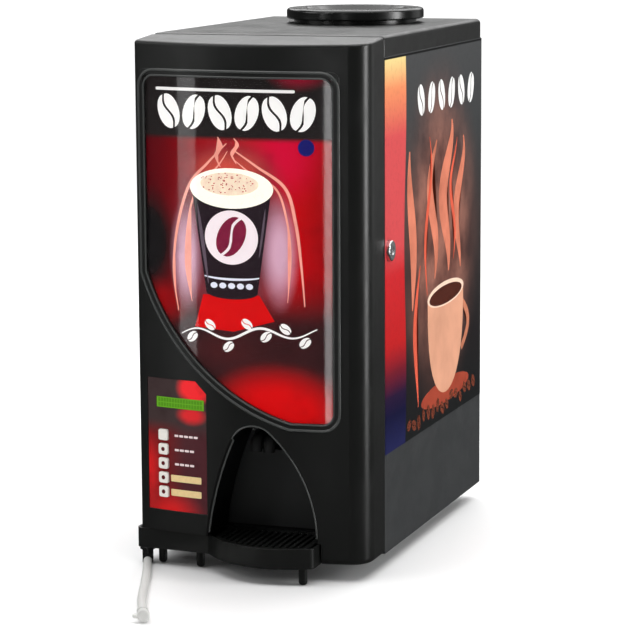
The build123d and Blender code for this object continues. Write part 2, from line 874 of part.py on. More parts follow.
with BuildPart() as canisters:
    for x in side_x:
        shell_profile = canister_profile(x, 0.0)
        hollow_profile = canister_profile(x, can_wall)
        extrude(shell_profile.moved(Location((0, can_back, 0))), amount=can_d)
        for plate_y in (can_front + can_wall, can_back):
            with BuildSketch(Plane.XZ.offset(-plate_y)):
                with Locations((x, (shelf_z + sheet + hopper_z) / 2)):
                    Rectangle(60, hopper_z - shelf_z - sheet)
            extrude(amount=can_wall)
        with BuildSketch(Plane.XZ.offset(-can_front)):
            with Locations((x, auger_z)):
                Circle(trough_r + can_wall)
        extrude(amount=outlet_len)
        extrude(
            hollow_profile.moved(Location((0, can_back - can_wall, 0))),
            amount=can_d - 2 * can_wall,
            mode=Mode.SUBTRACT,
        )
        with BuildSketch(Plane.XZ.offset(-can_front - can_wall)):
            with Locations((x, auger_z)):
                Circle(trough_r)
        extrude(amount=can_wall + outlet_len, mode=Mode.SUBTRACT)
        with BuildSketch(Plane.XZ.offset(-can_back)):
            with Locations((x, auger_z)):
                Circle(auger_shaft_r + run_fit)
        extrude(amount=can_wall, mode=Mode.SUBTRACT)
canisters.part.label = "canisters"
export_step(canisters.part, "parts/canisters.step")

for x, side in zip(side_x, side_names):
    with BuildPart() as canister_lid:
        with BuildSketch(Plane.XY.offset(can_top + fit)):
            with Locations((x, can_mid_y)):
                RectangleRounded(can_w, can_d, 5)
        extrude(amount=lid_h)
        fillet(canister_lid.edges().group_by(Axis.Z)[-1], 2)
        with BuildSketch(Plane.XY.offset(can_top + fit)):
            with Locations((x, can_mid_y)):
                Rectangle(can_w - 2 * can_wall - 1, can_d - 2 * can_wall - 1)
                Rectangle(can_w - 2 * can_wall - 7, can_d - 2 * can_wall - 7, mode=Mode.SUBTRACT)
        extrude(amount=-8)
        with BuildSketch(Plane.XY.offset(can_top + fit + lid_h)):
            with Locations((x, can_mid_y)):
                SlotOverall(46, 12)
        extrude(amount=5)
    canister_lid.part.label = f"canister_lid_{side}"
    export_step(canister_lid.part, f"parts/canister_lid_{side}.step")

    shaft_front = can_front - outlet_len - 8.0
    shaft_back = high_wall_y + sheet + 10.0
    flight_start = shaft_front + 8.0
    with BuildPart() as auger:
        with BuildSketch(Plane.XZ.offset(-shaft_front)):
            with Locations((x, auger_z)):
                Circle(auger_shaft_r)
        extrude(amount=shaft_front - shaft_back)
        for turn in range(auger_flights):
            flight_y = flight_start + turn * auger_pitch + 3
            for lean in (12, -12):
                centre = (x, flight_y + (lean > 0) * auger_pitch / 2, auger_z)
                disc = Plane(origin=centre, z_dir=(0, cos(radians(lean)), sin(radians(lean))))
                with BuildSketch(disc):
                    Circle(auger_flight_r)
                extrude(amount=0.6, both=True)
    auger.part.label = f"auger_{side}"
    export_step(auger.part, f"parts/auger_{side}.step")

    sleeve_r = trough_r + can_wall + fit
    spout_front = can_front - outlet_len - 14.0
    with BuildPart() as spout:
        with BuildSketch(Plane.XZ.offset(-spout_front)):
            with Locations((x, auger_z)):
                Circle(sleeve_r + spout_wall)
        extrude(amount=spout_front - can_front + 1.0)
        with BuildSketch(Plane.XY.offset(auger_z - spout_drop)):
            with Locations((x, spout_front + 11)):
                Rectangle(24, 22)
        extrude(amount=spout_drop)
        with BuildSketch(Plane.XZ.offset(-spout_front - spout_wall)):
            with Locations((x, auger_z)):
                Circle(sleeve_r)
        extrude(amount=spout_front + spout_wall - can_front, mode=Mode.SUBTRACT)
        with BuildSketch(Plane.XY.offset(auger_z - spout_drop)):
            with Locations((x, spout_front + 11)):
                Rectangle(24 - 2 * spout_wall, 22 - 2 * spout_wall)
        extrude(amount=spout_drop, mode=Mode.SUBTRACT)
    spout.part.label = f"spout_{side}"
    export_step(spout.part, f"parts/spout_{side}.step")

with BuildPart() as auger_motors:
    gear_y = high_wall_y + sheet
    with BuildSketch(Plane.XZ.offset(-gear_y)):
        with Locations([(x, auger_z) for x in side_x]):
            RectangleRounded(46, 44, 4)
    extrude(amount=-22)
    with BuildSketch(Plane.XZ.offset(-gear_y - 22)):
        with Locations([(x, auger_z) for x in side_x]):
            Circle(13)
    extrude(amount=-26)
    with BuildSketch(Plane.XZ.offset(-gear_y)):
        with Locations([(x, auger_z) for x in side_x]):
            Circle(auger_shaft_r + run_fit)
    extrude(amount=-12, mode=Mode.SUBTRACT)
auger_motors.part.label = "auger_motors"
export_step(auger_motors.part, "parts/auger_motors.step")

# ---------------------------------------------------------------- exhaust fan
fan_back = back_y - sheet
fan_front = fan_back - fan_deep
post_deep = 9.0
with BuildPart() as fan_frame:
    with BuildSketch(Plane.XZ.offset(-fan_back)):
        with Locations((fan_x, fan_z)):
            RectangleRounded(fan_size, fan_size, 5)
            Circle(fan_duct_r, mode=Mode.SUBTRACT)
            with GridLocations(fan_size - 10, fan_size - 10, 2, 2):
                Circle(screw_r, mode=Mode.SUBTRACT)
    extrude(amount=fan_deep)
    with BuildSketch(Plane.XZ.offset(-fan_front - 3)):
        with Locations((fan_x, fan_z)):
            Circle(fan_hub_r)
            with PolarLocations(fan_duct_r / 2, 4):
                Rectangle(fan_duct_r + 2, 5)
    extrude(amount=3)
    with BuildSketch(Plane.XZ.offset(-fan_front)):
        with Locations((fan_x, fan_z)):
            Circle(5)
    extrude(amount=-post_deep)
    with BuildSketch(Plane.XZ.offset(-fan_front)):
        with Locations((fan_x, fan_z)):
            Circle(fan_shaft_r + run_fit)
    extrude(amount=-post_deep, mode=Mode.SUBTRACT)
fan_frame.part.label = "fan_frame"
export_step(fan_frame.part, "parts/fan_frame.step")

rotor_back = fan_back - 2.0
rotor_front = fan_front + 4.5
with BuildPart() as fan_rotor:
    with BuildSketch(Plane.XZ.offset(-rotor_back)):
        with Locations((fan_x, fan_z)):
            Circle(fan_hub_r)
    extrude(amount=rotor_back - rotor_front)
    with BuildSketch(Plane.XZ.offset(-rotor_front)):
        with Locations((fan_x, fan_z)):
            Circle(fan_hub_r - 1.5)
    extrude(amount=rotor_front - rotor_back + 3, mode=Mode.SUBTRACT)
    with BuildSketch(Plane.XZ.offset(-rotor_back)):
        with Locations((fan_x, fan_z)):
            Circle(fan_shaft_r)
    extrude(amount=rotor_back - fan_front - 1)
    for blade in range(fan_blades):
        turn = blade * 360.0 / fan_blades
        arm = Vector(cos(radians(turn)), 0, sin(radians(turn)))
        across = Vector(-arm.Z, 0, arm.X)
        mid = Vector(fan_x, (rotor_back + rotor_front) / 2, fan_z) + arm * (fan_hub_r - 1)
        chord = across * cos(radians(40)) + Vector(0, 1, 0) * sin(radians(40))
        with BuildSketch(Plane(origin=mid, x_dir=chord, z_dir=arm)):
            Rectangle(17, 1.4)
        extrude(amount=fan_duct_r - fan_hub_r - 1.5)
fan_rotor.part.label = "fan_rotor"
export_step(fan_rotor.part, "parts/fan_rotor.step")

# ---------------------------------------------------------------- power inlet, rocker switch and electronics
inlet_body_d = 26.0
socket_z = inlet_z - 16.0
rocker_z = inlet_z + 20.0
pivot_r = 1.5
with BuildPart() as power_inlet:
    with BuildSketch(Plane.XZ.offset(-back_y - rear_reach)):
        with Locations((inlet_x, inlet_z)):
            RectangleRounded(inlet_w, inlet_h, 4)
    extrude(amount=rear_reach)
    with BuildSketch(Plane.XZ.offset(-back_y)):
        with Locations((inlet_x, inlet_z)):
            Rectangle(inlet_w - 2 * inlet_lap, inlet_h - 2 * inlet_lap)
    extrude(amount=inlet_body_d)
    with BuildSketch(Plane.XZ.offset(-back_y - rear_reach)):
        with Locations((inlet_x, socket_z)):
            RectangleRounded(28, 21, 4)
    extrude(amount=20, mode=Mode.SUBTRACT)
    with BuildSketch(Plane.XZ.offset(-back_y + 17)):
        with Locations((inlet_x, socket_z)):
            with Locations((0, 4), (-7, -3), (7, -3)):
                Rectangle(2, 4.5)
    extrude(amount=-16)
    with BuildSketch(Plane.XZ.offset(-back_y - rear_reach)):
        with Locations((inlet_x, rocker_z)):
            Rectangle(rocker_w + 1, rocker_l + 2)
    extrude(amount=16, mode=Mode.SUBTRACT)
    with BuildSketch(Plane.YZ.offset(inlet_x - rocker_w / 2 - 3)):
        with Locations((back_y - 4, rocker_z)):
            Circle(pivot_r + run_fit)
    extrude(amount=rocker_w + 6, mode=Mode.SUBTRACT)
power_inlet.part.label = "power_inlet"
export_step(power_inlet.part, "parts/power_inlet.step")

rocker_plane = Plane(
    origin=(inlet_x, back_y - 4, rocker_z),
    x_dir=(0, cos(radians(rocker_tilt)), sin(radians(rocker_tilt))),
    z_dir=(1, 0, 0),
)
with BuildPart() as power_rocker:
    with BuildSketch(rocker_plane):
        with BuildLine():
            Polyline(
                (-6, -4),
                (2, -rocker_l / 2 + 1),
                (4.5, -rocker_l / 2 + 1),
                (3.5, 0),
                (4.5, rocker_l / 2 - 1),
                (2, rocker_l / 2 - 1),
                (-6, 4),
                close=True,
            )
        make_face()
    extrude(amount=rocker_w / 2, both=True)
    with BuildSketch(rocker_plane):
        Circle(pivot_r)
    extrude(amount=rocker_w / 2 + 2.5, both=True)
power_rocker.part.label = "power_rocker"
export_step(power_rocker.part, "parts/power_rocker.step")

supply_x = -75.0
supply_y = seam_y + 340.0
with BuildPart() as power_supply:
    with BuildSketch(Plane.XY.offset(base_z + sheet)):
        with Locations((supply_x, supply_y)):
            RectangleRounded(110, 90, 2)
    extrude(amount=42)
    with BuildSketch(Plane.XY.offset(base_z + sheet + 42)):
        with Locations((supply_x, supply_y)):
            with GridLocations(10, 26, 8, 3):
                SlotOverall(18, 5, rotation=90)
    extrude(amount=-1.2, mode=Mode.SUBTRACT)
power_supply.part.label = "power_supply"
export_step(power_supply.part, "parts/power_supply.step")

board_z = 150.0
with BuildPart() as relay_board:
    with BuildSketch(Plane.XZ.offset(-low_wall_y - sheet - 8)):
        with Locations((0, board_z)):
            Rectangle(200, 110)
    extrude(amount=-1.6)
    with BuildSketch(Plane.XZ.offset(-low_wall_y - sheet)):
        with Locations((0, board_z)):
            with GridLocations(186, 96, 2, 2):
                Circle(3)
    extrude(amount=-8)
    with BuildSketch(Plane.XZ.offset(-low_wall_y - sheet - 9.6)):
        with Locations((0, board_z + 25)):
            with GridLocations(30, 1, 5, 1):
                Rectangle(18, 28)
    extrude(amount=-16)
    with BuildSketch(Plane.XZ.offset(-low_wall_y - sheet - 9.6)):
        with Locations((-40, board_z - 22)):
            Rectangle(50, 36)
        with Locations((50, board_z - 38)):
            Rectangle(80, 12)
    extrude(amount=-12)
relay_board.part.label = "relay_board"
export_step(relay_board.part, "parts/relay_board.step")

# ---------------------------------------------------------------- lock
with BuildPart() as lock_barrel:
    with BuildSketch(Plane.YZ.offset(half_w)):
        with Locations((lock_y, lock_z)):
            Circle(lock_r)
    extrude(amount=lock_proud)
    fillet(lock_barrel.edges().group_by(Axis.X)[-1], 1.5)
    with BuildSketch(Plane.YZ.offset(half_w)):
        with Locations((lock_y, lock_z)):
            Circle(lock_body_r)
    extrude(amount=-20)
    with BuildSketch(Plane.YZ.offset(half_w - sheet)):
        with Locations((lock_y, lock_z)):
            RegularPolygon(13, 6)
    extrude(amount=-4)
    with BuildSketch(Plane.YZ.offset(half_w + lock_proud)):
        with Locations((lock_y, lock_z)):
            Circle(lock_plug_r + run_fit)
    extrude(amount=-lock_proud - 20, mode=Mode.SUBTRACT)
lock_barrel.part.label = "lock_barrel"
export_step(lock_barrel.part, "parts/lock_barrel.step")

plug_front = half_w + lock_proud - 0.6
with BuildPart() as lock_plug:
    with BuildSketch(Plane.YZ.offset(plug_front)):
        with Locations((lock_y, lock_z)):
            Circle(lock_plug_r)
    extrude(amount=cam_x + cam_t - plug_front)
    with BuildSketch(Plane.YZ.offset(plug_front)):
        with Locations((lock_y, lock_z)):
            Rectangle(1.2, 6)
    extrude(amount=-4, mode=Mode.SUBTRACT)
    with BuildSketch(Plane.YZ.offset(cam_x + cam_t)):
        with Locations((lock_y, lock_z)):
            Rectangle(5, 5)
    extrude(amount=-cam_t - 1)
lock_plug.part.label = "lock_plug"
export_step(lock_plug.part, "parts/lock_plug.step")

with BuildPart() as lock_cam:
    with BuildSketch(Plane.YZ.offset(cam_x)):
        with Locations((lock_y, lock_z)):
            Circle(cam_half)
        with Locations((lock_y - cam_l / 2, lock_z)):
            Rectangle(cam_l, 2 * cam_half)
        with Locations((lock_y, lock_z)):
            Rectangle(5.1, 5.1, mode=Mode.SUBTRACT)
    extrude(amount=cam_t)
lock_cam.part.label = "lock_cam"
export_step(lock_cam.part, "parts/lock_cam.step")

# ---------------------------------------------------------------- hinge pins
with BuildPart() as hinge_pins:
    for z in hinge_z:
        with BuildSketch(Plane.XY.offset(z)):
            with Locations((pin_x, pin_y)):
                Circle(pin_r)
        extrude(amount=knuckle_h / 2 + boss_h - 2, both=True)
hinge_pins.part.label = "hinge_pins"
export_step(hinge_pins.part, "parts/hinge_pins.step")

# ---------------------------------------------------------------- door shell
door_rear = seam_y - door_gap
door_top = top_z - 1.0
cavity_low = door_low + door_wall
cavity_top = door_top - door_top_drop - 2 * door_wall
front_cut_y = seam_y - 30.0  # cuts from here forward reach only the door's front wall
front_cut = bow_depth
shell_plan = door_plan(0.0, door_rear)
cavity_plan = door_plan(door_wall, door_rear + 2)


def from_front(outline, back):
    """An outline seen from the front, moved to stand at that Y."""
    return outline.moved(Location((0, back, 0)))


with BuildPart() as bezel:
    add(bowed_sheet(-bezel_proud, 2.0))
    extrude(from_front(window_outline(bezel_w), front_cut_y), amount=front_cut, mode=Mode.INTERSECT)
    extrude(from_front(window_outline(2.0), front_cut_y), amount=front_cut, mode=Mode.SUBTRACT)

with BuildPart() as door_shell:
    add(shell_plan.moved(Location((0, 0, base_z))))
    extrude(amount=door_top - base_z)
    corner = door_shell.edges().filter_by(Axis.Z).sort_by_distance((-half_w, door_rear, top_z / 2))[0]
    fillet(corner, hinge_in)
    top_slope = Plane(
        origin=(0, door_rear, door_top),
        x_dir=(1, 0, 0),
        z_dir=(0, -door_top_drop, bow_depth),
    )
    split(bisect_by=top_slope, keep=Keep.BOTTOM)
    for end_face, rim_r in ((-1, 4.0), (0, 6.0)):
        rim_edges = door_shell.faces().sort_by(Axis.Z)[end_face].edges()
        fillet(rim_edges.filter_by(lambda e: e.center().Y < door_rear - 0.5), rim_r)
    add(bezel.part)
    with BuildSketch(Plane.XY.offset(base_z - 1)):
        with Locations((column_x / 2 - half_w / 2 - 5, seam_y - tray_reach / 2)):
            Rectangle(column_x + half_w + 10, tray_reach + 10)
    extrude(amount=door_low - base_z + 1, mode=Mode.SUBTRACT)
    extrude(
        cavity_plan.moved(Location((0, 0, cavity_low))),
        amount=cavity_top - cavity_low,
        mode=Mode.SUBTRACT,
    )
    with BuildSketch(Plane.XY.offset(base_z + door_wall)) as column_floor:
        add(cavity_plan)
        with Locations((column_x + door_wall + half_w, seam_y)):
            Rectangle(cab_w, 4 * tray_reach, mode=Mode.INTERSECT)
    extrude(amount=cavity_low - base_z, mode=Mode.SUBTRACT)
    # Openings for the window, the fascia and the cup niche
    extrude(from_front(window_outline(0.0), front_cut_y), amount=front_cut, mode=Mode.SUBTRACT)
    extrude(from_front(fascia_outline(0.2), front_cut_y), amount=front_cut, mode=Mode.SUBTRACT)
    extrude(from_front(niche_outline(niche_wall + 0.1), seam_y), amount=2 * bow_depth, mode=Mode.SUBTRACT)
    # Hinge bosses with gaps between them for the cabinet's knuckles
    knuckle_gap = knuckle_h / 2 + 0.5
    for z in hinge_z:
        with BuildSketch(Plane.XY.offset(z)):
            with Locations((pin_x, pin_y)):
                Circle(hinge_in - 0.4)
        extrude(amount=knuckle_gap + boss_h, both=True)
        with BuildSketch(Plane.XY.offset(z)):
            with Locations((pin_x, pin_y)):
                Circle(pin_r + run_fit)
        extrude(amount=knuckle_gap + boss_h, both=True, mode=Mode.SUBTRACT)
        with BuildSketch(Plane.XY.offset(z)):
            with Locations((pin_x + 6.6, pin_y - 6.6)):
                Rectangle(2 * hinge_in + 7, 2 * hinge_in + 7, align=(Align.MAX, Align.MIN))
        extrude(amount=knuckle_gap, both=True, mode=Mode.SUBTRACT)
door_shell.part.label = "door_shell"
export_step(door_shell.part, "parts/door_shell.step")

cover_rear = door_rear - cover_plate_in
cover_front = cover_rear - cover_plate
cover_left = pin_x + hinge_in + 1.0
cover_right = half_w - door_wall - 0.1
strike_x = 109.0
strike_low = 352.0
strike_high = 366.0
strike_t = 2.0
strike_foot = 14.0
strike_hook = 11.0
hook_front = lock_y + cam_half + 1.0
with BuildPart() as door_back_cover:
    with BuildSketch(Plane.XZ.offset(-cover_rear)):
        with Locations((cover_left, cavity_low + 0.1)):
            Rectangle(
                cover_right - cover_left,
                cavity_top - cavity_low - 0.2,
                align=(Align.MIN, Align.MIN),
            )
        with Locations((cover_right, base_z + door_wall + 0.1)):
            Rectangle(
                cover_right - column_x - door_wall - 0.1,
                door_low,
                align=(Align.MAX, Align.MIN),
            )
        with Locations(((port_left + port_right) / 2, (port_low + port_high) / 2)):
            Rectangle(port_right - port_left, port_high - port_low, mode=Mode.SUBTRACT)
    extrude(amount=cover_plate)
door_back_cover.part.label = "door_back_cover"
export_step(door_back_cover.part, "parts/door_back_cover.step")

# The hook that the lock's cam turns in front of
with BuildPart() as lock_strike:
    with BuildSketch(Plane.XY.offset(strike_low)):
        with BuildLine():
            Polyline(
                (strike_x - strike_foot, cover_rear),
                (strike_x + strike_t / 2, cover_rear),
                (strike_x + strike_t / 2, hook_front),
                (strike_x + strike_hook, hook_front),
                (strike_x + strike_hook, hook_front + strike_t),
                (strike_x - strike_t / 2, hook_front + strike_t),
                (strike_x - strike_t / 2, cover_rear + strike_t),
                (strike_x - strike_foot, cover_rear + strike_t),
                close=True,
            )
        make_face()
    extrude(amount=strike_high - strike_low)
lock_strike.part.label = "lock_strike"
export_step(lock_strike.part, "parts/lock_strike.step")

# ---------------------------------------------------------------- window, graphic and light
with BuildPart() as window_glazing:
    add(bowed_sheet(0.5, 0.5 + glazing_t))
    extrude(from_front(window_outline(-0.2), front_cut_y), amount=front_cut, mode=Mode.INTERSECT)
window_glazing.part.label = "window_glazing"
export_step(window_glazing.part, "parts/window_glazing.step")

graphic_in = door_wall + 0.1
with BuildPart() as graphic_panel:
    add(bowed_sheet(graphic_in, graphic_in + graphic_t))
    extrude(from_front(window_outline(graphic_lap), front_cut_y), amount=front_cut, mode=Mode.INTERSECT)
graphic_panel.part.label = "graphic_panel"
export_step(graphic_panel.part, "parts/graphic_panel.step")

light_front = seam_y - 22.0
light_left = -96.0
light_right = 92.0
light_low = 250.0
light_high = 560.0
light_mid = ((light_left + light_right) / 2, (light_low + light_high) / 2)
with BuildPart() as light_board:
    with BuildSketch(Plane.XZ.offset(-light_front)):
        with Locations(light_mid):
            Rectangle(light_right - light_left, light_high - light_low)
    extrude(amount=-1.6)
    with BuildSketch(Plane.XZ.offset(-light_front)):
        with Locations(light_mid):
            with GridLocations(44, 38, 4, 8):
                RectangleRounded(7, 7, 1)
    extrude(amount=1.8)
    with BuildSketch(Plane.XZ.offset(-light_front - 1.6)):
        with Locations(light_mid):
            with GridLocations(light_right - light_left - 16, light_high - light_low - 16, 2, 2):
                Circle(3.5)
    extrude(amount=light_front + 1.6 - cover_front)
light_board.part.label = "light_board"
export_step(light_board.part, "parts/light_board.step")

# ---------------------------------------------------------------- control fascia, display and buttons
button_spots = [button_z0 - step * button_pitch for step in range(button_count)]
with BuildPart() as control_fascia:
    add(bowed_sheet(fascia_in, fascia_in + fascia_t))
    extrude(from_front(fascia_outline(0.0), front_cut_y), amount=front_cut, mode=Mode.INTERSECT)
    with BuildSketch(Plane.XZ.offset(-front_cut_y)):
        with Locations((display_x, display_z)):
            Rectangle(display_w, display_h)
    extrude(amount=front_cut, mode=Mode.SUBTRACT)
    for z in button_spots:
        with BuildSketch(button_plane(z)):
            RectangleRounded(button_side + 2 * fit, button_side + 2 * fit, button_corner + fit)
        extrude(amount=6, both=True, mode=Mode.SUBTRACT)
control_fascia.part.label = "control_fascia"
export_step(control_fascia.part, "parts/control_fascia.step")

display_body_in = fascia_in + fascia_t + 0.2
with BuildPart() as display_body:
    add(bowed_sheet(display_body_in, display_body_in + 6.0))
    with BuildSketch(Plane.XZ.offset(-front_cut_y)):
        with Locations((display_x, display_z)):
            Rectangle(display_w + 3, display_h + 8)
    extrude(amount=front_cut, mode=Mode.INTERSECT)

with BuildPart() as display_module:
    add(bowed_sheet(fascia_in + 0.6, display_body_in))
    with BuildSketch(Plane.XZ.offset(-front_cut_y)):
        with Locations((display_x, display_z)):
            Rectangle(display_w - fit, display_h - fit)
    extrude(amount=front_cut, mode=Mode.INTERSECT)
    add(display_body.part)
display_module.part.label = "display_module"
export_step(display_module.part, "parts/display_module.step")

for number, z in enumerate(button_spots, start=1):
    with BuildPart() as button:
        with BuildSketch(button_plane(z)):
            RectangleRounded(button_side, button_side, button_corner)
        extrude(amount=button_proud)
        in_front = button_plane(z).from_local_coords(Vector(0, 0, button_side))
        fillet(button.faces().sort_by_distance(in_front)[0].edges(), 0.8)
        with BuildSketch(button_plane(z)):
            RectangleRounded(button_side, button_side, button_corner)
        extrude(amount=-4)
        with BuildSketch(button_plane(z).offset(-4)):
            RectangleRounded(button_side + 2 * button_flange, button_side + 2 * button_flange, 2)
        extrude(amount=-1.5)
        with BuildSketch(button_plane(z).offset(-4)):
            Circle(3)
        extrude(amount=-4.8)
    button.part.label = f"button_{number}"
    export_step(button.part, f"parts/button_{number}.step")

board_in = 11.9
board_t = 1.6
board_mid_z = button_spots[button_count // 2]
with BuildPart() as control_board:
    with BuildSketch(button_plane(board_mid_z).offset(-board_in)):
        Rectangle(36, 110)
    extrude(amount=-board_t)
    for z in button_spots:
        with BuildSketch(button_plane(z).offset(-board_in)):
            Rectangle(6, 6)
        extrude(amount=0.7)
    board_y = bow_y(button_x) + board_in + 1.1
    with BuildSketch(Plane.XZ.offset(-board_y)):
        with Locations((button_x, board_mid_z)):
            with GridLocations(1, 90, 1, 2):
                Circle(3)
    extrude(amount=board_y - cover_front)
control_board.part.label = "control_board"
export_step(control_board.part, "parts/control_board.step")

# ---------------------------------------------------------------- cup niche liner
liner_back = seam_y - niche_back_in
with BuildPart() as niche_liner:
    add(shell_plan.moved(Location((0, 0, door_low))))
    extrude(amount=top_z / 2)
    extrude(from_front(niche_outline(niche_wall), liner_back), amount=bow_depth, mode=Mode.INTERSECT)
    extrude(
        from_front(niche_outline(0.0), liner_back - niche_wall),
        amount=bow_depth,
        mode=Mode.SUBTRACT,
    )
    with BuildSketch(Plane.XZ.offset(-liner_back)):
        with Locations(((port_left + port_right) / 2, (port_low + port_high) / 2)):
            Rectangle(port_right - port_left, port_high - port_low)
    extrude(amount=niche_wall, mode=Mode.SUBTRACT)
niche_liner.part.label = "niche_liner"
export_step(niche_liner.part, "parts/niche_liner.step")

# ---------------------------------------------------------------- drip tray, grid and drain
tray_top = door_low - tray_rim_gap
rib_top = tray_top - grid_t - 0.5
rib_x = (grid_left + 4.0, grid_right - 5.0)
with BuildPart() as drip_tray:
    add(tray_outline(0.0).moved(Location((0, 0, base_z))))
    extrude(amount=tray_top - base_z)
    extrude(
        tray_outline(tray_wall).moved(Location((0, 0, base_z + tray_wall))),
        amount=tray_top - base_z,
        mode=Mode.SUBTRACT,
    )
    with BuildSketch(Plane.XY.offset(base_z + 1)):
        with Locations([(x, seam_y - 45.0) for x in rib_x]):
            Rectangle(2, 50)
    extrude(amount=rib_top - base_z - 1)
    with BuildSketch(Plane.XY.offset(peg_gap)):
        with Locations([(x, seam_y + y) for x, y in peg_places]):
            Circle(peg_r)
    extrude(amount=base_z - peg_gap + 1)
    fillet(drip_tray.edges().group_by(Axis.Z)[0], 3.5)
    with BuildSketch(Plane.XY.offset(base_z)):
        with Locations((drain_x, drain_y)):
            Circle(3)
    extrude(amount=tray_wall, mode=Mode.SUBTRACT)
drip_tray.part.label = "drip_tray"
export_step(drip_tray.part, "parts/drip_tray.step")

grid_low = rib_top + fit
grid_plan = tray_outline(tray_wall + 0.6)
with BuildPart() as drip_grid:
    with BuildSketch(Plane.XY.offset(grid_low)):
        add(grid_plan)
        with Locations((grid_left, seam_y - grid_back)):
            Rectangle(
                grid_right - grid_left,
                tray_reach,
                align=(Align.MIN, Align.MAX),
                mode=Mode.INTERSECT,
            )
    extrude(amount=grid_t)
    with BuildSketch(Plane.XY.offset(grid_low)):
        with Locations(((grid_left + grid_right) / 2, seam_y - grid_back - tray_reach / 2 - 6)):
            with GridLocations(grid_pitch, 1, int((grid_right - grid_left) / grid_pitch) - 1, 1):
                Rectangle(grid_slot, tray_reach)
        add(tray_outline(tray_wall + 6.0), mode=Mode.INTERSECT)
    extrude(amount=grid_t, mode=Mode.SUBTRACT)
drip_grid.part.label = "drip_grid"
export_step(drip_grid.part, "parts/drip_grid.step")

hose_start = Vector(*hose_points[0])
hose_first = (Vector(*hose_points[1]) - hose_start).normalized()
hose_end = Vector(*hose_points[-1])
hose_last = (hose_end - Vector(*hose_points[-2])).normalized()
with BuildPart() as drain_elbow:
    with BuildSketch(Plane.XY.offset(0.5)):
        with Locations((drain_x, drain_y)):
            Circle(6.5)
    extrude(amount=base_z - 0.5)
    with BuildSketch(Plane.XY.offset(base_z)):
        with Locations((drain_x, drain_y)):
            Circle(9)
    extrude(amount=-3)
    with BuildSketch(Plane(origin=hose_start, z_dir=-hose_first)):
        Circle(hose_r)
    extrude(amount=13)
    with BuildSketch(Plane(origin=hose_start, z_dir=-hose_first)):
        Circle(3)
    extrude(amount=13, mode=Mode.SUBTRACT)
    with BuildSketch(Plane.XY.offset(base_z)):
        with Locations((drain_x, drain_y)):
            Circle(3)
    extrude(amount=-(base_z - 4), mode=Mode.SUBTRACT)
drain_elbow.part.label = "drain_elbow"
export_step(drain_elbow.part, "parts/drain_elbow.step")


def bend_radii(points):
    """The largest bend that each inner point of the route allows."""
    radii = []
    for before, corner_point, after in zip(points, points[1:], points[2:]):
        run_in = Vector(*corner_point) - Vector(*before)
        run_out = Vector(*after) - Vector(*corner_point)
        half_turn = radians(run_in.get_angle(run_out) / 2)
        radii.append(0.45 * min(run_in.length, run_out.length) / tan(half_turn))
    return radii


hose_radii = bend_radii(hose_points)
with BuildPart() as drain_hose:
    with BuildLine() as hose_path:
        FilletPolyline(*hose_points, radius=hose_radii)
    with BuildSketch(Plane(origin=hose_start, z_dir=hose_first)):
        Circle(hose_r)
    sweep(path=hose_path.line)
drain_hose.part.label = "drain_hose"
export_step(drain_hose.part, "parts/drain_hose.step")
hose_area = pi * hose_r**2
print("hose radii", [round(radius) for radius in hose_radii])
hose_length = sum(edge.length for edge in hose_path.edges())
print("hose length", round(hose_length, 1), "from its volume", round(drain_hose.part.volume / hose_area, 1))

stopper_plane = Plane(origin=hose_end, z_dir=hose_last)
with BuildPart() as hose_stopper:
    for start, length, radius in ((0.0, 9.0, 6.4), (9.0, 8.0, 5.6), (17.0, stopper_l - 17.0, stopper_r)):
        with BuildSketch(stopper_plane.offset(start)):
            Circle(radius)
        extrude(amount=length)
    fillet(hose_stopper.faces().sort_by(Axis.Y)[0].edges(), 2.0)
    with BuildSketch(Plane.XY.offset(hose_end.Z)):
        with Locations(hose_end + hose_last * 21 + Vector(-7, -2, 0)):
            Circle(4.5)
    extrude(amount=1.6, both=True)
hose_stopper.part.label = "hose_stopper"
export_step(hose_stopper.part, "parts/hose_stopper.step")
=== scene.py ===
"""Looks of a counter-top hot coffee vending machine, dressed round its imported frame. Metres."""

import logging
import random
from collections.abc import Callable, Sequence
from dataclasses import dataclass, field
from enum import Enum
from functools import cache
from math import asin, atan2, cos, pi, radians, sin, sqrt

import bmesh
import bpy
from mathutils import Matrix, Vector
from mathutils.geometry import interpolate_bezier


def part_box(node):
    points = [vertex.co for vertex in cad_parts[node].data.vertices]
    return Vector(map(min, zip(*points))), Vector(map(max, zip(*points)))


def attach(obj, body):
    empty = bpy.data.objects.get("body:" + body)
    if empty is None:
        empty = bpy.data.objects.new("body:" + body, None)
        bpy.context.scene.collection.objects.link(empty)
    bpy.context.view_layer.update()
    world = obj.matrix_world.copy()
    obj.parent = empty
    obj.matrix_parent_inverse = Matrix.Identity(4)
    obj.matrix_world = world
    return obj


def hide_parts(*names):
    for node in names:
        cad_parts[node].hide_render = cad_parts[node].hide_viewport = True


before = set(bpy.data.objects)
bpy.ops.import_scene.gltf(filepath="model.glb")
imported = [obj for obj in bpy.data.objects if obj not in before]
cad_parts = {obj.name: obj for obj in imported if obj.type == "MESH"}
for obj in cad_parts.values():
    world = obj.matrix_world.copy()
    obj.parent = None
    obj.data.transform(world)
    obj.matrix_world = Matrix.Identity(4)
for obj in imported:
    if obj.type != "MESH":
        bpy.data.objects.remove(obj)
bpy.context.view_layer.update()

LOG = logging.getLogger("vending_machine")
MM = 0.001
INK = 0.02 * MM  # thickness of a printed layer

Color = tuple[float, float, float]
Flat = tuple[float, float]
Stop = tuple[float, Color]
Socket = bpy.types.NodeSocket


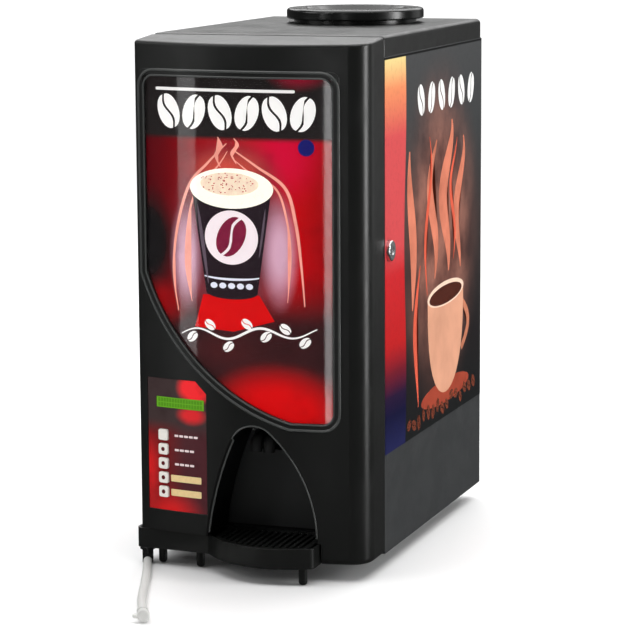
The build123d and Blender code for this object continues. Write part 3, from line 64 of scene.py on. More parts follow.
def tone(red: int, green: int, blue: int) -> Color:
    """Turns a colour as a printer names it, 0 to 255, into linear light.

    Args:
        red: Red share.
        green: Green share.
        blue: Blue share.

    Returns:
        The linear colour.
    """

    def straighten(value: int) -> float:
        """One channel, from its display value to linear light."""
        share = value / 255
        return share / 12.92 if share <= 0.04045 else ((share + 0.055) / 1.055) ** 2.4

    return straighten(red), straighten(green), straighten(blue)


@dataclass(frozen=True)
class Glow:
    """A soft elliptical spot of colour on a print."""

    color: Color
    middle: Flat
    half: Flat
    core: float = 0.0


# ------------------------------------------------------------------ node materials
class Shader:
    """A node material while it is being wired up."""

    def __init__(self, name: str) -> None:
        """Starts a material with one Principled surface.

        Args:
            name: The material's name.
        """
        self.material = bpy.data.materials.new(name)
        self.material.use_nodes = True
        self.tree = self.material.node_tree
        self.surface = self.tree.nodes["Principled BSDF"]
        self.place = self.add("ShaderNodeTexCoord").outputs["Object"]
        split = self.add("ShaderNodeSeparateXYZ")
        self.wire(self.place, split.inputs[0])
        self.x, self.y, self.z = split.outputs

    def add(self, kind: str, **settings: object) -> bpy.types.Node:
        """Adds a node and sets its properties."""
        node = self.tree.nodes.new(kind)
        for key, value in settings.items():
            setattr(node, key, value)
        return node

    def wire(self, value: object, socket: Socket) -> None:
        """Links an output to an input, or sets the input to a plain value.

        Args:
            value: An output socket, a number or a colour.
            socket: The input.
        """
        if isinstance(value, bpy.types.NodeSocket):
            self.tree.links.new(value, socket)
        elif isinstance(value, tuple) and len(value) == 3 and socket.type == "RGBA":
            socket.default_value = (*value, 1.0)
        else:
            socket.default_value = value

    def math(self, operation: str, first: object, second: object = 0.0) -> Socket:
        """One step of arithmetic on two values."""
        node = self.add("ShaderNodeMath", operation=operation)
        self.wire(first, node.inputs[0])
        self.wire(second, node.inputs[1])
        return node.outputs[0]

    def noise(self, scale: float, detail: float = 3.0, stretch: Color = (1.0, 1.0, 1.0)) -> Socket:
        """Soft noise over the part.

        Args:
            scale: Features per metre.
            detail: Octaves.
            stretch: How many times denser it is along each axis.

        Returns:
            A value round 0.5.
        """
        mapping = self.add("ShaderNodeMapping")
        mapping.inputs["Scale"].default_value = stretch
        self.wire(self.place, mapping.inputs["Vector"])
        node = self.add("ShaderNodeTexNoise")
        self.wire(mapping.outputs[0], node.inputs["Vector"])
        node.inputs["Scale"].default_value = scale
        node.inputs["Detail"].default_value = detail
        return node.outputs["Fac"]

    def span(self, value: Socket, start: float, end: float, low: float = 0.0, high: float = 1.0) -> Socket:
        """Maps a value smoothly from one range to another.

        Args:
            value: What is mapped.
            start: Where the change begins.
            end: Where it ends.
            low: The result at the start.
            high: The result at the end.

        Returns:
            The mapped value.
        """
        node = self.add("ShaderNodeMapRange", interpolation_type="SMOOTHSTEP")
        self.wire(value, node.inputs["Value"])
        for key, number in (("From Min", start), ("From Max", end), ("To Min", low), ("To Max", high)):
            node.inputs[key].default_value = number
        return node.outputs["Result"]

    def blend(self, under: object, over: object, share: object) -> Socket:
        """Mixes two colours."""
        node = self.add("ShaderNodeMix", data_type="RGBA")
        self.wire(share, node.inputs[0])
        self.wire(under, node.inputs[6])
        self.wire(over, node.inputs[7])
        return node.outputs[2]

    def glows(self, color: Socket, *spots: Glow) -> Socket:
        """Lays soft spots of colour over a print that faces forward.

        Args:
            color: The colour under them.
            spots: The spots, from the lowest.

        Returns:
            The colour.
        """
        for spot in spots:
            share = self.glow(self.x, spot.middle, spot.half, spot.core)
            color = self.blend(color, spot.color, share)
        return color

    def steps(self, value: Socket, stops: Sequence[Stop]) -> Socket:
        """A colour ramp.

        Args:
            value: Position on the ramp, 0 to 1.
            stops: Positions and colours, in order.

        Returns:
            The colour.
        """
        node = self.add("ShaderNodeValToRGB")
        marks = node.color_ramp.elements
        while len(marks) < len(stops):
            marks.new(0.5)
        for mark, (position, color) in zip(marks, stops):
            mark.position = position
            mark.color = (*color, 1.0)
        self.wire(value, node.inputs[0])
        return node.outputs[0]

    def glow(self, across: Socket, spot: Flat, reach: Flat, core: float = 0.0) -> Socket:
        """A soft elliptical glow on an upright print.

        Args:
            across: The coordinate along the print, X or Y.
            spot: Its centre, across and up.
            reach: Its half axes.
            core: The share of the reach that is at full strength.

        Returns:
            1 in the middle, 0 outside.
        """
        wide = self.math("DIVIDE", self.math("SUBTRACT", across, spot[0]), reach[0])
        tall = self.math("DIVIDE", self.math("SUBTRACT", self.z, spot[1]), reach[1])
        square = self.math("ADD", self.math("MULTIPLY", wide, wide), self.math("MULTIPLY", tall, tall))
        return self.span(self.math("SQRT", square), core, 1.0, 1.0, 0.0)

    def relief(self, height: Socket, depth: float, strength: float = 1.0, edge: float = 0.0) -> None:
        """Gives the surface a fine relief, and rounds its edges.

        Args:
            height: The relief's pattern.
            depth: Its depth in metres.
            strength: How much of it shows.
            edge: Radius that sharp edges look rounded to, or 0.
        """
        node = self.add("ShaderNodeBump")
        node.inputs["Distance"].default_value = depth
        node.inputs["Strength"].default_value = strength
        self.wire(height, node.inputs["Height"])
        if edge:
            rounded = self.add("ShaderNodeBevel", samples=4)
            rounded.inputs["Radius"].default_value = edge
            self.wire(rounded.outputs[0], node.inputs["Normal"])
        self.wire(node.outputs[0], self.surface.inputs["Normal"])

    def worn_edges(self, radius: float) -> Socket:
        """1 along sharp outer edges, where handling polishes them, and 0 on flats."""
        rounded = self.add("ShaderNodeBevel", samples=4)
        rounded.inputs["Radius"].default_value = radius
        plain = self.add("ShaderNodeNewGeometry")
        node = self.add("ShaderNodeVectorMath", operation="DOT_PRODUCT")
        self.wire(rounded.outputs[0], node.inputs[0])
        self.wire(plain.outputs["Normal"], node.inputs[1])
        return self.span(node.outputs["Value"], 0.999, 0.9, 0.0, 1.0)

    def set(self, **sockets: float) -> None:
        """Sets plain values on the surface, with _ for a space in a socket's name."""
        for key, value in sockets.items():
            self.surface.inputs[key.replace("_", " ")].default_value = value

    def lit(self, color: Socket, strength: float) -> None:
        """Colours the surface and lets it shine in the same colour.

        Args:
            color: The print's colour.
            strength: How strongly it shines: light through the film where the light board is behind it, and a
                painted glow on prints that have nothing behind them.
        """
        self.wire(color, self.surface.inputs["Base Color"])
        self.wire(color, self.surface.inputs["Emission Color"])
        self.surface.inputs["Emission Strength"].default_value = strength


@dataclass(frozen=True)
class Moulding:
    """Opaque moulded plastic or rubber with a fine grain."""

    color: Color
    roughness: float
    grain: float = 1500.0
    depth: float = 0.05 * MM
    cloud: float = 0.05
    edge: float = 0.8 * MM
    wear: float = 0.5
    specular: float = 0.5

    def build(self, name: str) -> bpy.types.Material:
        """Wires the material.

        Args:
            name: Its name.

        Returns:
            The material.
        """
        shader = Shader(name)
        dark = tuple(channel * (1 - self.cloud) for channel in self.color)
        light = tuple(channel * (1 + self.cloud) for channel in self.color)
        body = shader.blend(dark, light, shader.noise(14.0, 5.0))
        polished = tuple(channel * 1.8 + 0.004 for channel in self.color)
        share = shader.math("MULTIPLY", shader.worn_edges(self.edge), self.wear)
        shader.wire(shader.blend(body, polished, share), shader.surface.inputs["Base Color"])
        smudge = shader.span(shader.noise(22.0, 6.0), 0.35, 0.7, self.roughness - 0.04, self.roughness + 0.06)
        shader.wire(smudge, shader.surface.inputs["Roughness"])
        shader.set(Specular_IOR_Level=self.specular)
        shader.relief(shader.noise(self.grain, 2.0), self.depth, 0.5, self.edge)
        return shader.material


@dataclass(frozen=True)
class PowderCoat:
    """Sheet steel under powder coat, with the coat's orange peel."""

    color: Color
    roughness: float = 0.45

    def build(self, name: str) -> bpy.types.Material:
        """Wires the material.

        Args:
            name: Its name.

        Returns:
            The material.
        """
        shader = Shader(name)
        dark = tuple(channel * 0.96 for channel in self.color)
        light = tuple(channel * 1.05 for channel in self.color)
        body = shader.blend(dark, light, shader.noise(9.0, 4.0))
        bare = tuple(channel * 2.2 for channel in self.color)
        share = shader.math("MULTIPLY", shader.worn_edges(0.6 * MM), 0.5)
        shader.wire(shader.blend(body, bare, share), shader.surface.inputs["Base Color"])
        smudge = shader.span(shader.noise(30.0, 5.0), 0.3, 0.7, self.roughness - 0.05, self.roughness + 0.07)
        shader.wire(smudge, shader.surface.inputs["Roughness"])
        shader.relief(shader.noise(420.0, 2.0), 0.06 * MM, 0.35, 0.6 * MM)
        return shader.material


class Grain(Enum):
    """How a bare metal's surface was left."""

    BRUSHED = (1.0, 1.0, 60.0)
    SPANGLED = (1.0, 1.0, 1.0)
    PLATED = (4.0, 4.0, 4.0)


@dataclass(frozen=True)
class BareMetal:
    """Metal without paint."""

    color: Color
    grain: Grain
    roughness: float

    def build(self, name: str) -> bpy.types.Material:
        """Wires the material.

        Args:
            name: Its name.

        Returns:
            The material.
        """
        shader = Shader(name)
        shader.set(Metallic=1.0)
        pattern = shader.noise(40.0, 4.0, self.grain.value)
        if self.grain is Grain.SPANGLED:
            cells = shader.add("ShaderNodeTexVoronoi")
            shader.wire(shader.place, cells.inputs["Vector"])
            cells.inputs["Scale"].default_value = 90.0
            pattern = cells.outputs["Distance"]
        dark = tuple(channel * 0.88 for channel in self.color)
        shader.wire(shader.blend(dark, self.color, pattern), shader.surface.inputs["Base Color"])
        rough = shader.span(pattern, 0.2, 0.8, self.roughness - 0.03, self.roughness + 0.04)
        shader.wire(rough, shader.surface.inputs["Roughness"])
        shader.relief(pattern, 0.02 * MM, 0.06, 0.4 * MM)
        return shader.material


@dataclass(frozen=True)
class Translucent:
    """Clear or milky plastic, as a thin wall."""

    color: Color
    alpha: float
    roughness: float
    through: float = 0.0

    def build(self, name: str) -> bpy.types.Material:
        """Wires the material.

        Args:
            name: Its name.

        Returns:
            The material.
        """
        shader = Shader(name)
        dark = tuple(channel * 0.93 for channel in self.color)
        tint = shader.blend(dark, self.color, shader.noise(25.0, 4.0))
        shader.wire(tint, shader.surface.inputs["Base Color"])
        haze = shader.span(shader.noise(60.0, 4.0), 0.3, 0.7, self.roughness, self.roughness + 0.05)
        shader.wire(haze, shader.surface.inputs["Roughness"])
        shader.set(Alpha=self.alpha, Transmission_Weight=self.through, IOR=1.4)
        shader.relief(shader.noise(200.0, 2.0), 0.02 * MM, 0.2)
        return shader.material


@dataclass(frozen=True)
class Ink:
    """One printed colour, a little uneven, under a gloss film."""

    color: Color
    # Emission strength: light through the film behind the window, and a painted glow on prints that are not
    # lit from behind.
    light: float = 0.3
    mottle: float = 0.1
    grain: float = 120.0
    gloss: float = 0.7

    def build(self, name: str) -> bpy.types.Material:
        """Wires the material.

        Args:
            name: Its name.

        Returns:
            The material.
        """
        shader = Shader(name)
        dark = tuple(channel * (1 - self.mottle) for channel in self.color)
        light = tuple(min(channel * (1 + self.mottle), 1.0) for channel in self.color)
        shader.lit(shader.blend(dark, light, shader.noise(self.grain, 3.0)), self.light)
        shader.set(Roughness=0.5, Specular_IOR_Level=0.0, Coat_Weight=self.gloss, Coat_Roughness=0.05)
        return shader.material


@dataclass(frozen=True)
class WindowPrint:
    """The backlit film behind the window: red with dark corners and a black band near its top."""

    band_low: float = 0.5055
    band_soft: float = 0.004

    def build(self, name: str) -> bpy.types.Material:
        """Wires the material.

        Args:
            name: Its name.

        Returns:
            The material.
        """
        shader = Shader(name)
        across = shader.span(shader.x, -0.125, 0.01)
        color = shader.blend(tone(84, 5, 14), tone(186, 6, 14), across)
        far = shader.span(shader.x, 0.05, 0.1)
        color = shader.blend(color, tone(150, 2, 8), far)
        color = shader.blend(color, tone(200, 8, 52), shader.glow(shader.x, (0.045, 0.49), (0.06, 0.07)))
        dusk = shader.span(shader.z, 0.362, 0.29)
        color = shader.blend(color, tone(40, 24, 26), shader.math("MULTIPLY", dusk, 0.97))
        color = shader.glows(
            color,
            Glow(tone(22, 20, 21), (-0.128, 0.385), (0.05, 0.075), 0.4),
            Glow(tone(150, 6, 12), (-0.105, 0.315), (0.04, 0.035)),
            Glow(tone(110, 52, 60), (-0.018, 0.4), (0.085, 0.13), 0.5),
            Glow(tone(206, 160, 182), (0.041, 0.378), (0.026, 0.075), 0.15),
            Glow(tone(206, 160, 182), (-0.075, 0.37), (0.024, 0.07), 0.15),
            Glow(tone(196, 74, 62), (-0.02, 0.47), (0.06, 0.03), 0.2),
            Glow(tone(66, 26, 28), (-0.03, 0.262), (0.07, 0.03)),
            Glow(tone(206, 4, 8), (0.035, 0.192), (0.1, 0.066), 0.35),
        )
        top = shader.span(shader.z, self.band_low - self.band_soft, self.band_low + self.band_soft)
        color = shader.blend(color, tone(33, 29, 29), top)
        color = shader.blend(color, tone(158, 20, 48), shader.glow(shader.x, (0.064, 0.582), (0.045, 0.024)))
        fade = shader.noise(35.0, 4.0)
        color = shader.blend(color, tone(12, 6, 8), shader.span(fade, 0.5, 0.9, 0.0, 0.35))
        shader.lit(color, 0.34)
        shader.set(Roughness=0.5, Specular_IOR_Level=0.0, Coat_Weight=0.7, Coat_Roughness=0.05)
        return shader.material


@dataclass(frozen=True)
class SidePrint:
    """The film on a side panel: a wavy band from yellow to navy along the front, and a dark field."""

    band_edge: float
    low: float
    high: float

    def build(self, name: str) -> bpy.types.Material:
        """Wires the material.

        Args:
            name: Its name.

        Returns:
            The material.
        """
        shader = Shader(name)
        height = shader.math("DIVIDE", shader.math("SUBTRACT", shader.z, self.low), self.high - self.low)
        band = shader.steps(
            height,
            (
                (0.0, tone(28, 32, 86)),
                (0.09, tone(3, 2, 58)),
                (0.14, tone(38, 8, 56)),
                (0.2, tone(120, 6, 34)),
                (0.27, tone(196, 6, 12)),
                (0.45, tone(208, 20, 30)),
                (0.52, tone(216, 72, 76)),
                (0.8, tone(219, 78, 80)),
                (0.92, tone(243, 146, 96)),
                (1.0, tone(246, 226, 150)),
            ),
        )
        field_color = shader.steps(
            height,
            (
                (0.0, tone(21, 24, 25)),
                (0.2, tone(30, 25, 27)),
                (0.5, tone(52, 46, 46)),
                (0.75, tone(60, 62, 63)),
                (1.0, tone(72, 73, 74)),
            ),
        )
        warm = shader.glow(shader.y, (0.07, 0.37), (0.19, 0.23), 0.3)
        smoke = shader.span(shader.noise(16.0, 5.0), 0.3, 0.75)
        haze = shader.blend(tone(92, 50, 42), tone(176, 116, 98), smoke)
        field_color = shader.blend(field_color, haze, shader.math("MULTIPLY", warm, 0.85))
        sway = shader.math("MULTIPLY", shader.math("SINE", shader.math("MULTIPLY", height, 9.0)), 4.0 * MM)
        from_edge = shader.math("SUBTRACT", shader.y, shader.math("ADD", sway, self.band_edge))
        color = shader.blend(band, field_color, shader.span(from_edge, -1.0 * MM, 1.5 * MM))
        fleck = shader.span(shader.noise(160.0, 4.0), 0.45, 0.75, 0.0, 0.12)
        border = shader.span(shader.z, self.high - 2.6 * MM, self.high - 2.0 * MM)
        color = shader.blend(shader.blend(color, tone(12, 10, 12), fleck), tone(8, 8, 8), border)
        shader.lit(shader.blend(color, tone(0, 0, 0), 0.22), 0.0)
        shader.set(Roughness=0.5, Specular_IOR_Level=0.1, Coat_Weight=0.2, Coat_Roughness=0.15)
        return shader.material


@dataclass(frozen=True)
class FasciaPrint:
    """The overlay round the keys: dark maroon with red glows at its top right and low left."""

    def build(self, name: str) -> bpy.types.Material:
        """Wires the material.

        Args:
            name: Its name.

        Returns:
            The material.
        """
        shader = Shader(name)
        color = shader.blend(tone(112, 12, 16), tone(72, 30, 36), shader.span(shader.x, -0.115, -0.075))
        dark_top = shader.span(shader.z, 0.155, 0.178)
        color = shader.blend(color, tone(58, 44, 44), dark_top)
        color = shader.glows(
            color,
            Glow(tone(232, 26, 34), (-0.066, 0.216), (0.027, 0.022), 0.5),
            Glow(tone(206, 26, 32), (-0.07, 0.184), (0.024, 0.014), 0.3),
            Glow(tone(196, 10, 14), (-0.128, 0.115), (0.022, 0.055)),
            Glow(tone(202, 12, 14), (-0.098, 0.067), (0.05, 0.034)),
        )
        color = shader.blend(color, tone(30, 8, 10), shader.span(shader.noise(60.0), 0.5, 0.85, 0.0, 0.3))
        # The fascia has no light board behind it, so this shine is a painted glow.
        shader.lit(color, 0.2)
        shader.set(Roughness=0.5, Specular_IOR_Level=0.1, Coat_Weight=0.3, Coat_Roughness=0.2)
        return shader.material


class Finish(Enum):
    """Every finish of the machine that more than one piece can have."""

    BLACK_PLASTIC = Moulding(tone(20, 21, 20), 0.33, specular=0.36)
    GLOSS_BLACK = Moulding(tone(17, 18, 17), 0.24, depth=0.02 * MM, wear=0.3)
    # Darker and duller than the door's black plastic: painted shade for the recess of the cup niche.
    NICHE_BLACK = Moulding(tone(9, 9, 9), 0.35, depth=0.02 * MM, wear=0.2, specular=0.2)
    NICHE_GREY = Moulding(tone(38, 39, 39), 0.4, wear=0.3, specular=0.4)
    # A pale grey for the bead round the niche's back plate: a painted highlight along its edge.
    PALE_BEAD = Moulding(tone(150, 152, 150), 0.3, wear=0.2)
    # Much paler than the door's black plastic, so the bezel's beads and the niche's lip show as painted
    # highlight lines.
    RIM_GREY = Moulding(tone(66, 68, 67), 0.2, depth=0.02 * MM, wear=0.2)
    GREY_PAINT = PowderCoat(tone(47, 49, 50))
    GALVANISED = BareMetal((0.6, 0.61, 0.62), Grain.SPANGLED, 0.42)
    STAINLESS = BareMetal((0.66, 0.66, 0.65), Grain.BRUSHED, 0.28)
    ZINC = BareMetal((0.75, 0.76, 0.77), Grain.PLATED, 0.22)
    RUBBER = Moulding((0.012, 0.012, 0.012), 0.7, grain=900.0, wear=0.2)
    CLEAR_ACRYLIC = Translucent((0.05, 0.05, 0.05), 0.03, 0.03)
    CLEAR_CONTAINER = Translucent((0.72, 0.74, 0.76), 0.5, 0.2)
    SILICONE = Translucent((0.83, 0.83, 0.81), 0.78, 0.3, 0.15)
    WHITE_PLASTIC = Moulding((0.8, 0.79, 0.75), 0.35, wear=0.0, cloud=0.04)
    CREAM_BUTTON = Moulding(tone(240, 236, 228), 0.4, wear=0.0, cloud=0.03)
    PCB_GREEN = Moulding((0.02, 0.16, 0.06), 0.35, grain=300.0, wear=0.0)
    DISPLAY_GREEN = Moulding(tone(40, 60, 34), 0.4, wear=0.0)
    WINDOW_PRINT = WindowPrint()
    FASCIA_PRINT = FasciaPrint()


@cache
def material_of(finish: Finish) -> bpy.types.Material:
    """The one material of a finish, made when it is first asked for."""
    return finish.value.build(finish.name.lower())


def dress(node: str, material: bpy.types.Material) -> None:
    """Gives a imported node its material.

    Args:
        node: The node's name.
        material: Its new material.
    """
    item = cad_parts[node]
    if not item.material_slots:
        item.data.materials.append(material)
    for place in item.material_slots:
        place.material = material
    LOG.info("dressed %s in %s", node, material.name)


# ------------------------------------------------------------------ mesh making
def add_piece(
    name: str,
    mesh: bmesh.types.BMesh,
    body: str,
    material: bpy.types.Material,
    smooth: bool = True,
) -> bpy.types.Object:
    """Turns a finished mesh into a piece of the machine.

    Args:
        name: The piece's name.
        mesh: Its mesh, which is used up.
        body: The body it moves with.
        material: Its material.
        smooth: Whether it is shaded smooth.

    Returns:
        The new object.
    """
    data = bpy.data.meshes.new(name)
    bmesh.ops.recalc_face_normals(mesh, faces=mesh.faces)
    mesh.to_mesh(data)
    mesh.free()
    data.materials.append(material)
    if smooth:
        data.shade_smooth()
        data.set_sharp_from_angle(angle=radians(35))
    item = bpy.data.objects.new(name, data)
    bpy.context.scene.collection.objects.link(item)
    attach(item, body)
    LOG.info("made %s: %d faces on %s", name, len(data.polygons), body)
    return item


def ellipse(spot: Flat, half: Flat, points: int = 48, lean: float = 0.0) -> list[Flat]:
    """The outline of an ellipse.

    Args:
        spot: Its centre.
        half: Its half axes.
        points: Points round it.
        lean: Turn in radians.

    Returns:
        The outline.
    """
    outline = []
    for step in range(points):
        angle = 2 * pi * step / points
        wide, tall = half[0] * cos(angle), half[1] * sin(angle)
        across = spot[0] + wide * cos(lean) - tall * sin(lean)
        outline.append((across, spot[1] + wide * sin(lean) + tall * cos(lean)))
    return outline


def rounded_box(low: Flat, high: Flat, radius: float, points: int = 6) -> list[Flat]:
    """The outline of a box with round corners.

    Args:
        low: Its lower left corner.
        high: Its upper right corner.
        radius: The corners' radius.
        points: Points round each corner.

    Returns:
        The outline.
    """
    corners = (
        (high[0] - radius, high[1] - radius, 0.0),
        (low[0] + radius, high[1] - radius, 0.5 * pi),
        (low[0] + radius, low[1] + radius, pi),
        (high[0] - radius, low[1] + radius, 1.5 * pi),
    )
    outline = []
    for across, up, start in corners:
        for step in range(points + 1):
            angle = start + 0.5 * pi * step / points
            outline.append((across + radius * cos(angle), up + radius * sin(angle)))
    return outline


def smooth_line(knots: Sequence[Flat], points: int = 12) -> list[Flat]:
    """A smooth line through a few knots.

    Args:
        knots: The points that it passes.
        points: Points for each stretch.

    Returns:
        The line.
    """
    spots = [Vector((across, up)) for across, up in knots]
    line: list[Flat] = []
    for step in range(len(spots) - 1):
        here, there = spots[step], spots[step + 1]
        before = spots[max(step - 1, 0)]
        after = spots[min(step + 2, len(spots) - 1)]
        handle_out = here + (there - before) / 6
        handle_in = there - (after - here) / 6
        stretch = interpolate_bezier(here, handle_out, handle_in, there, points)
        line += [(spot[0], spot[1]) for spot in stretch[: None if there is spots[-1] else -1]]
    return line


def ribbon(line: Sequence[Flat], width: Callable[[float], float]) -> list[Flat]:
    """The outline of a stroke along a line.

    Args:
        line: The stroke's middle.
        width: Its half width at a share of its length.

    Returns:
        The outline.
    """
    near: list[Flat] = []
    far: list[Flat] = []
    last = len(line) - 1
    for step, (across, up) in enumerate(line):
        before = line[max(step - 1, 0)]
        after = line[min(step + 1, last)]
        run = Vector((after[0] - before[0], after[1] - before[1])).normalized()
        half = width(step / last)
        near.append((across - run.y * half, up + run.x * half))
        far.append((across + run.y * half, up - run.x * half))
    return near + far[::-1]


@dataclass
class BowedFront:
    """The door's bowed front, on which outlines given across and up are laid."""

    middle_x: float = 10 * MM
    radius: float = 552 * MM
    film_inset: float = 3.1 * MM
    cut: float = 6 * MM

    def __post_init__(self) -> None:
        """Finds the bow's foremost line from the film behind the window."""
        self.front_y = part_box("graphic_panel")[0][1] - self.film_inset

    def depth(self, across: float, inset: float) -> float:
        """The Y of the bow there, inside its outer face by inset."""
        radius = self.radius - inset
        return self.front_y + self.radius - sqrt(radius**2 - (across - self.middle_x) ** 2)

    def point(self, across: float, up: float, inset: float) -> Vector:
        """A point on the bow."""
        return Vector((across, self.depth(across, inset), up))

    def outward(self, across: float) -> Vector:
        """The direction straight out of the bow."""
        turn = asin((across - self.middle_x) / self.radius)
        return Vector((sin(turn), -cos(turn), 0.0))

    def lay(self, outlines: Sequence[Sequence[Flat]], inset: float, thick: float = INK) -> bmesh.types.BMesh:
        """Cuts outlines from a thin sheet that follows the bow.

        Args:
            outlines: Closed outlines, across and up.
            inset: How far the sheet's front lies inside the bow's face.
            thick: The sheet's thickness.

        Returns:
            The closed sheet's mesh.
        """
        mesh = bmesh.new()
        for outline in outlines:
            mesh.faces.new([mesh.verts.new((across, 0.0, up)) for across, up in outline])
        bmesh.ops.triangulate(mesh, faces=mesh.faces)
        low = min(vert.co.x for vert in mesh.verts)
        high = max(vert.co.x for vert in mesh.verts)
        for step in range(int(low / self.cut), int(high / self.cut) + 1):
            everything = list(mesh.verts) + list(mesh.edges) + list(mesh.faces)
            spot = (step * self.cut, 0, 0)
            bmesh.ops.bisect_plane(mesh, geom=everything, plane_co=spot, plane_no=(1, 0, 0))
        bmesh.ops.triangulate(mesh, faces=mesh.faces)
        thicken(mesh, lambda place, back: self.point(place.x, place.z, inset + back * thick))
        return mesh


def thicken(mesh: bmesh.types.BMesh, place: Callable[[Vector, int], Vector]) -> None:
    """Turns flat faces into a closed sheet.

    Args:
        mesh: Flat faces, changed in place.
        place: Where a point goes, for the front, 0, and for the back, 1.
    """
    front = list(mesh.verts)
    grown = bmesh.ops.extrude_face_region(mesh, geom=list(mesh.faces), use_keep_orig=True)
    back = [part for part in grown["geom"] if isinstance(part, bmesh.types.BMVert)]
    for vert in front:
        vert.co = place(vert.co, 0)
    for vert in back:
        vert.co = place(vert.co, 1)


def bead(path: Sequence[Vector], radius: float, closed: bool, sides: int = 10) -> bmesh.types.BMesh:
    """A round bead along a path that stays near upright.

    Args:
        path: The bead's middle.
        radius: Its radius.
        closed: Whether its end meets its start.
        sides: Points round it.

    Returns:
        The bead's mesh.
    """
    mesh = bmesh.new()
    loops = []
    count = len(path)
    for step, middle in enumerate(path):
        before = path[step - 1] if closed or step else middle
        after = path[(step + 1) % count] if closed or step + 1 < count else middle
        run = (after - before).normalized()
        side = run.cross(Vector((0.0, 1.0, 0.0))).normalized()
        out = side.cross(run)
        loop = []
        for turn in range(sides):
            angle = 2 * pi * turn / sides
            loop.append(mesh.verts.new(middle + side * (radius * cos(angle)) + out * (radius * sin(angle))))
        loops.append(loop)
    stretches = list(zip(loops, loops[1:] + loops[:1])) if closed else list(zip(loops, loops[1:]))
    for first, second in stretches:
        for turn in range(sides):
            mesh.faces.new((first[turn - 1], first[turn], second[turn], second[turn - 1]))
    if not closed:
        mesh.faces.new(loops[0])
        mesh.faces.new(loops[-1])
    return mesh


def circle_through(first: Flat, second: Flat, third: Flat) -> tuple[Flat, float]:
    """The circle through three points.

    Args:
        first: One point.
        second: Another.
        third: A third, not in line with them.

    Returns:
        The centre and the radius.
    """
    (ax, ay), (bx, by), (cx, cy) = first, second, third
    twice = 2 * (ax * (by - cy) + bx * (cy - ay) + cx * (ay - by))
    a_square, b_square, c_square = ax * ax + ay * ay, bx * bx + by * by, cx * cx + cy * cy
    across = (a_square * (by - cy) + b_square * (cy - ay) + c_square * (ay - by)) / twice
    up = (a_square * (cx - bx) + b_square * (ax - cx) + c_square * (bx - ax)) / twice
    return (across, up), sqrt((ax - across) ** 2 + (ay - up) ** 2)


def arc_through(first: Flat, second: Flat, third: Flat, grow: float = 0.0, points: int = 24) -> list[Flat]:
    """The arc from the first to the third of three points, made wider or narrower.

    Args:
        first: Its start.
        second: A point on it.
        third: Its end.
        grow: How much is added to its radius.
        points: How many stretches it has.

    Returns:
        The arc's points.
    """
    (across, up), radius = circle_through(first, second, third)
    start = atan2(first[1] - up, first[0] - across)
    middle = atan2(second[1] - up, second[0] - across)
    end = atan2(third[1] - up, third[0] - across)
    turn = (end - start) % (2 * pi)
    if (middle - start) % (2 * pi) > turn:
        turn -= 2 * pi
    wide = radius + grow
    return [
        (across + wide * cos(start + turn * step / points), up + wide * sin(start + turn * step / points))
        for step in range(points + 1)
    ]


def lay_flat(outlines: Sequence[Sequence[Flat]], face_x: float, out: float) -> bmesh.types.BMesh:
    """Cuts outlines from a thin sheet on an upright side.

    Args:
        outlines: Closed outlines in Y and Z.
        face_x: X of the side's face.
        out: How far the sheet's outer face stands off it, away from the middle.

    Returns:
        The closed sheet's mesh.
    """
    mesh = bmesh.new()
    for outline in outlines:
        mesh.faces.new([mesh.verts.new((0.0, along, up)) for along, up in outline])
    bmesh.ops.triangulate(mesh, faces=mesh.faces)
    side = 1 if face_x > 0 else -1
    outer = face_x + side * out
    thicken(mesh, lambda place, back: Vector((outer - side * back * INK, place.y, place.z)))
    return mesh


def coffee_bean(spot: Flat, long: float, lean: float) -> list[list[Flat]]:
    """A coffee bean as two halves with a curved slit between them.

    Args:
        spot: Its centre.
        long: Its half length.
        lean: Its turn in radians.

    Returns:
        The outlines of its halves.
    """
    wide = 0.62 * long
    slit = 0.07 * long
    halves = []
    for side in (-1, 1):
        local = []
        for step in range(13):
            angle = pi * step / 12
            local.append((side * (wide * sin(angle) + slit), long * cos(angle)))
        for step in range(1, 12):
            share = step / 12
            sway = 0.16 * long * sin(2 * pi * share)
            local.append((sway + side * slit, long * (2 * share - 1)))
        halves.append(
            [
                (spot[0] + x * cos(lean) - y * sin(lean), spot[1] + x * sin(lean) + y * cos(lean))
                for x, y in local
            ]
        )
    return halves


# ------------------------------------------------------------------ sub-assemblies
@dataclass
class DoorCasing:
    """The door's shell, its niche and the works behind them."""

    def build(self) -> None:
        """Dresses the door's nodes."""
        dress("door_shell", material_of(Finish.BLACK_PLASTIC))
        # The niche liner's finish is darkened as painted shade for the recess.
        dress("niche_liner", material_of(Finish.NICHE_BLACK))
        dress("door_back_cover", material_of(Finish.GALVANISED))
        dress("lock_strike", material_of(Finish.STAINLESS))
        dress("light_board", material_of(Finish.WHITE_PLASTIC))
        dress("window_glazing", material_of(Finish.CLEAR_ACRYLIC))
        dress("control_board", material_of(Finish.PCB_GREEN))


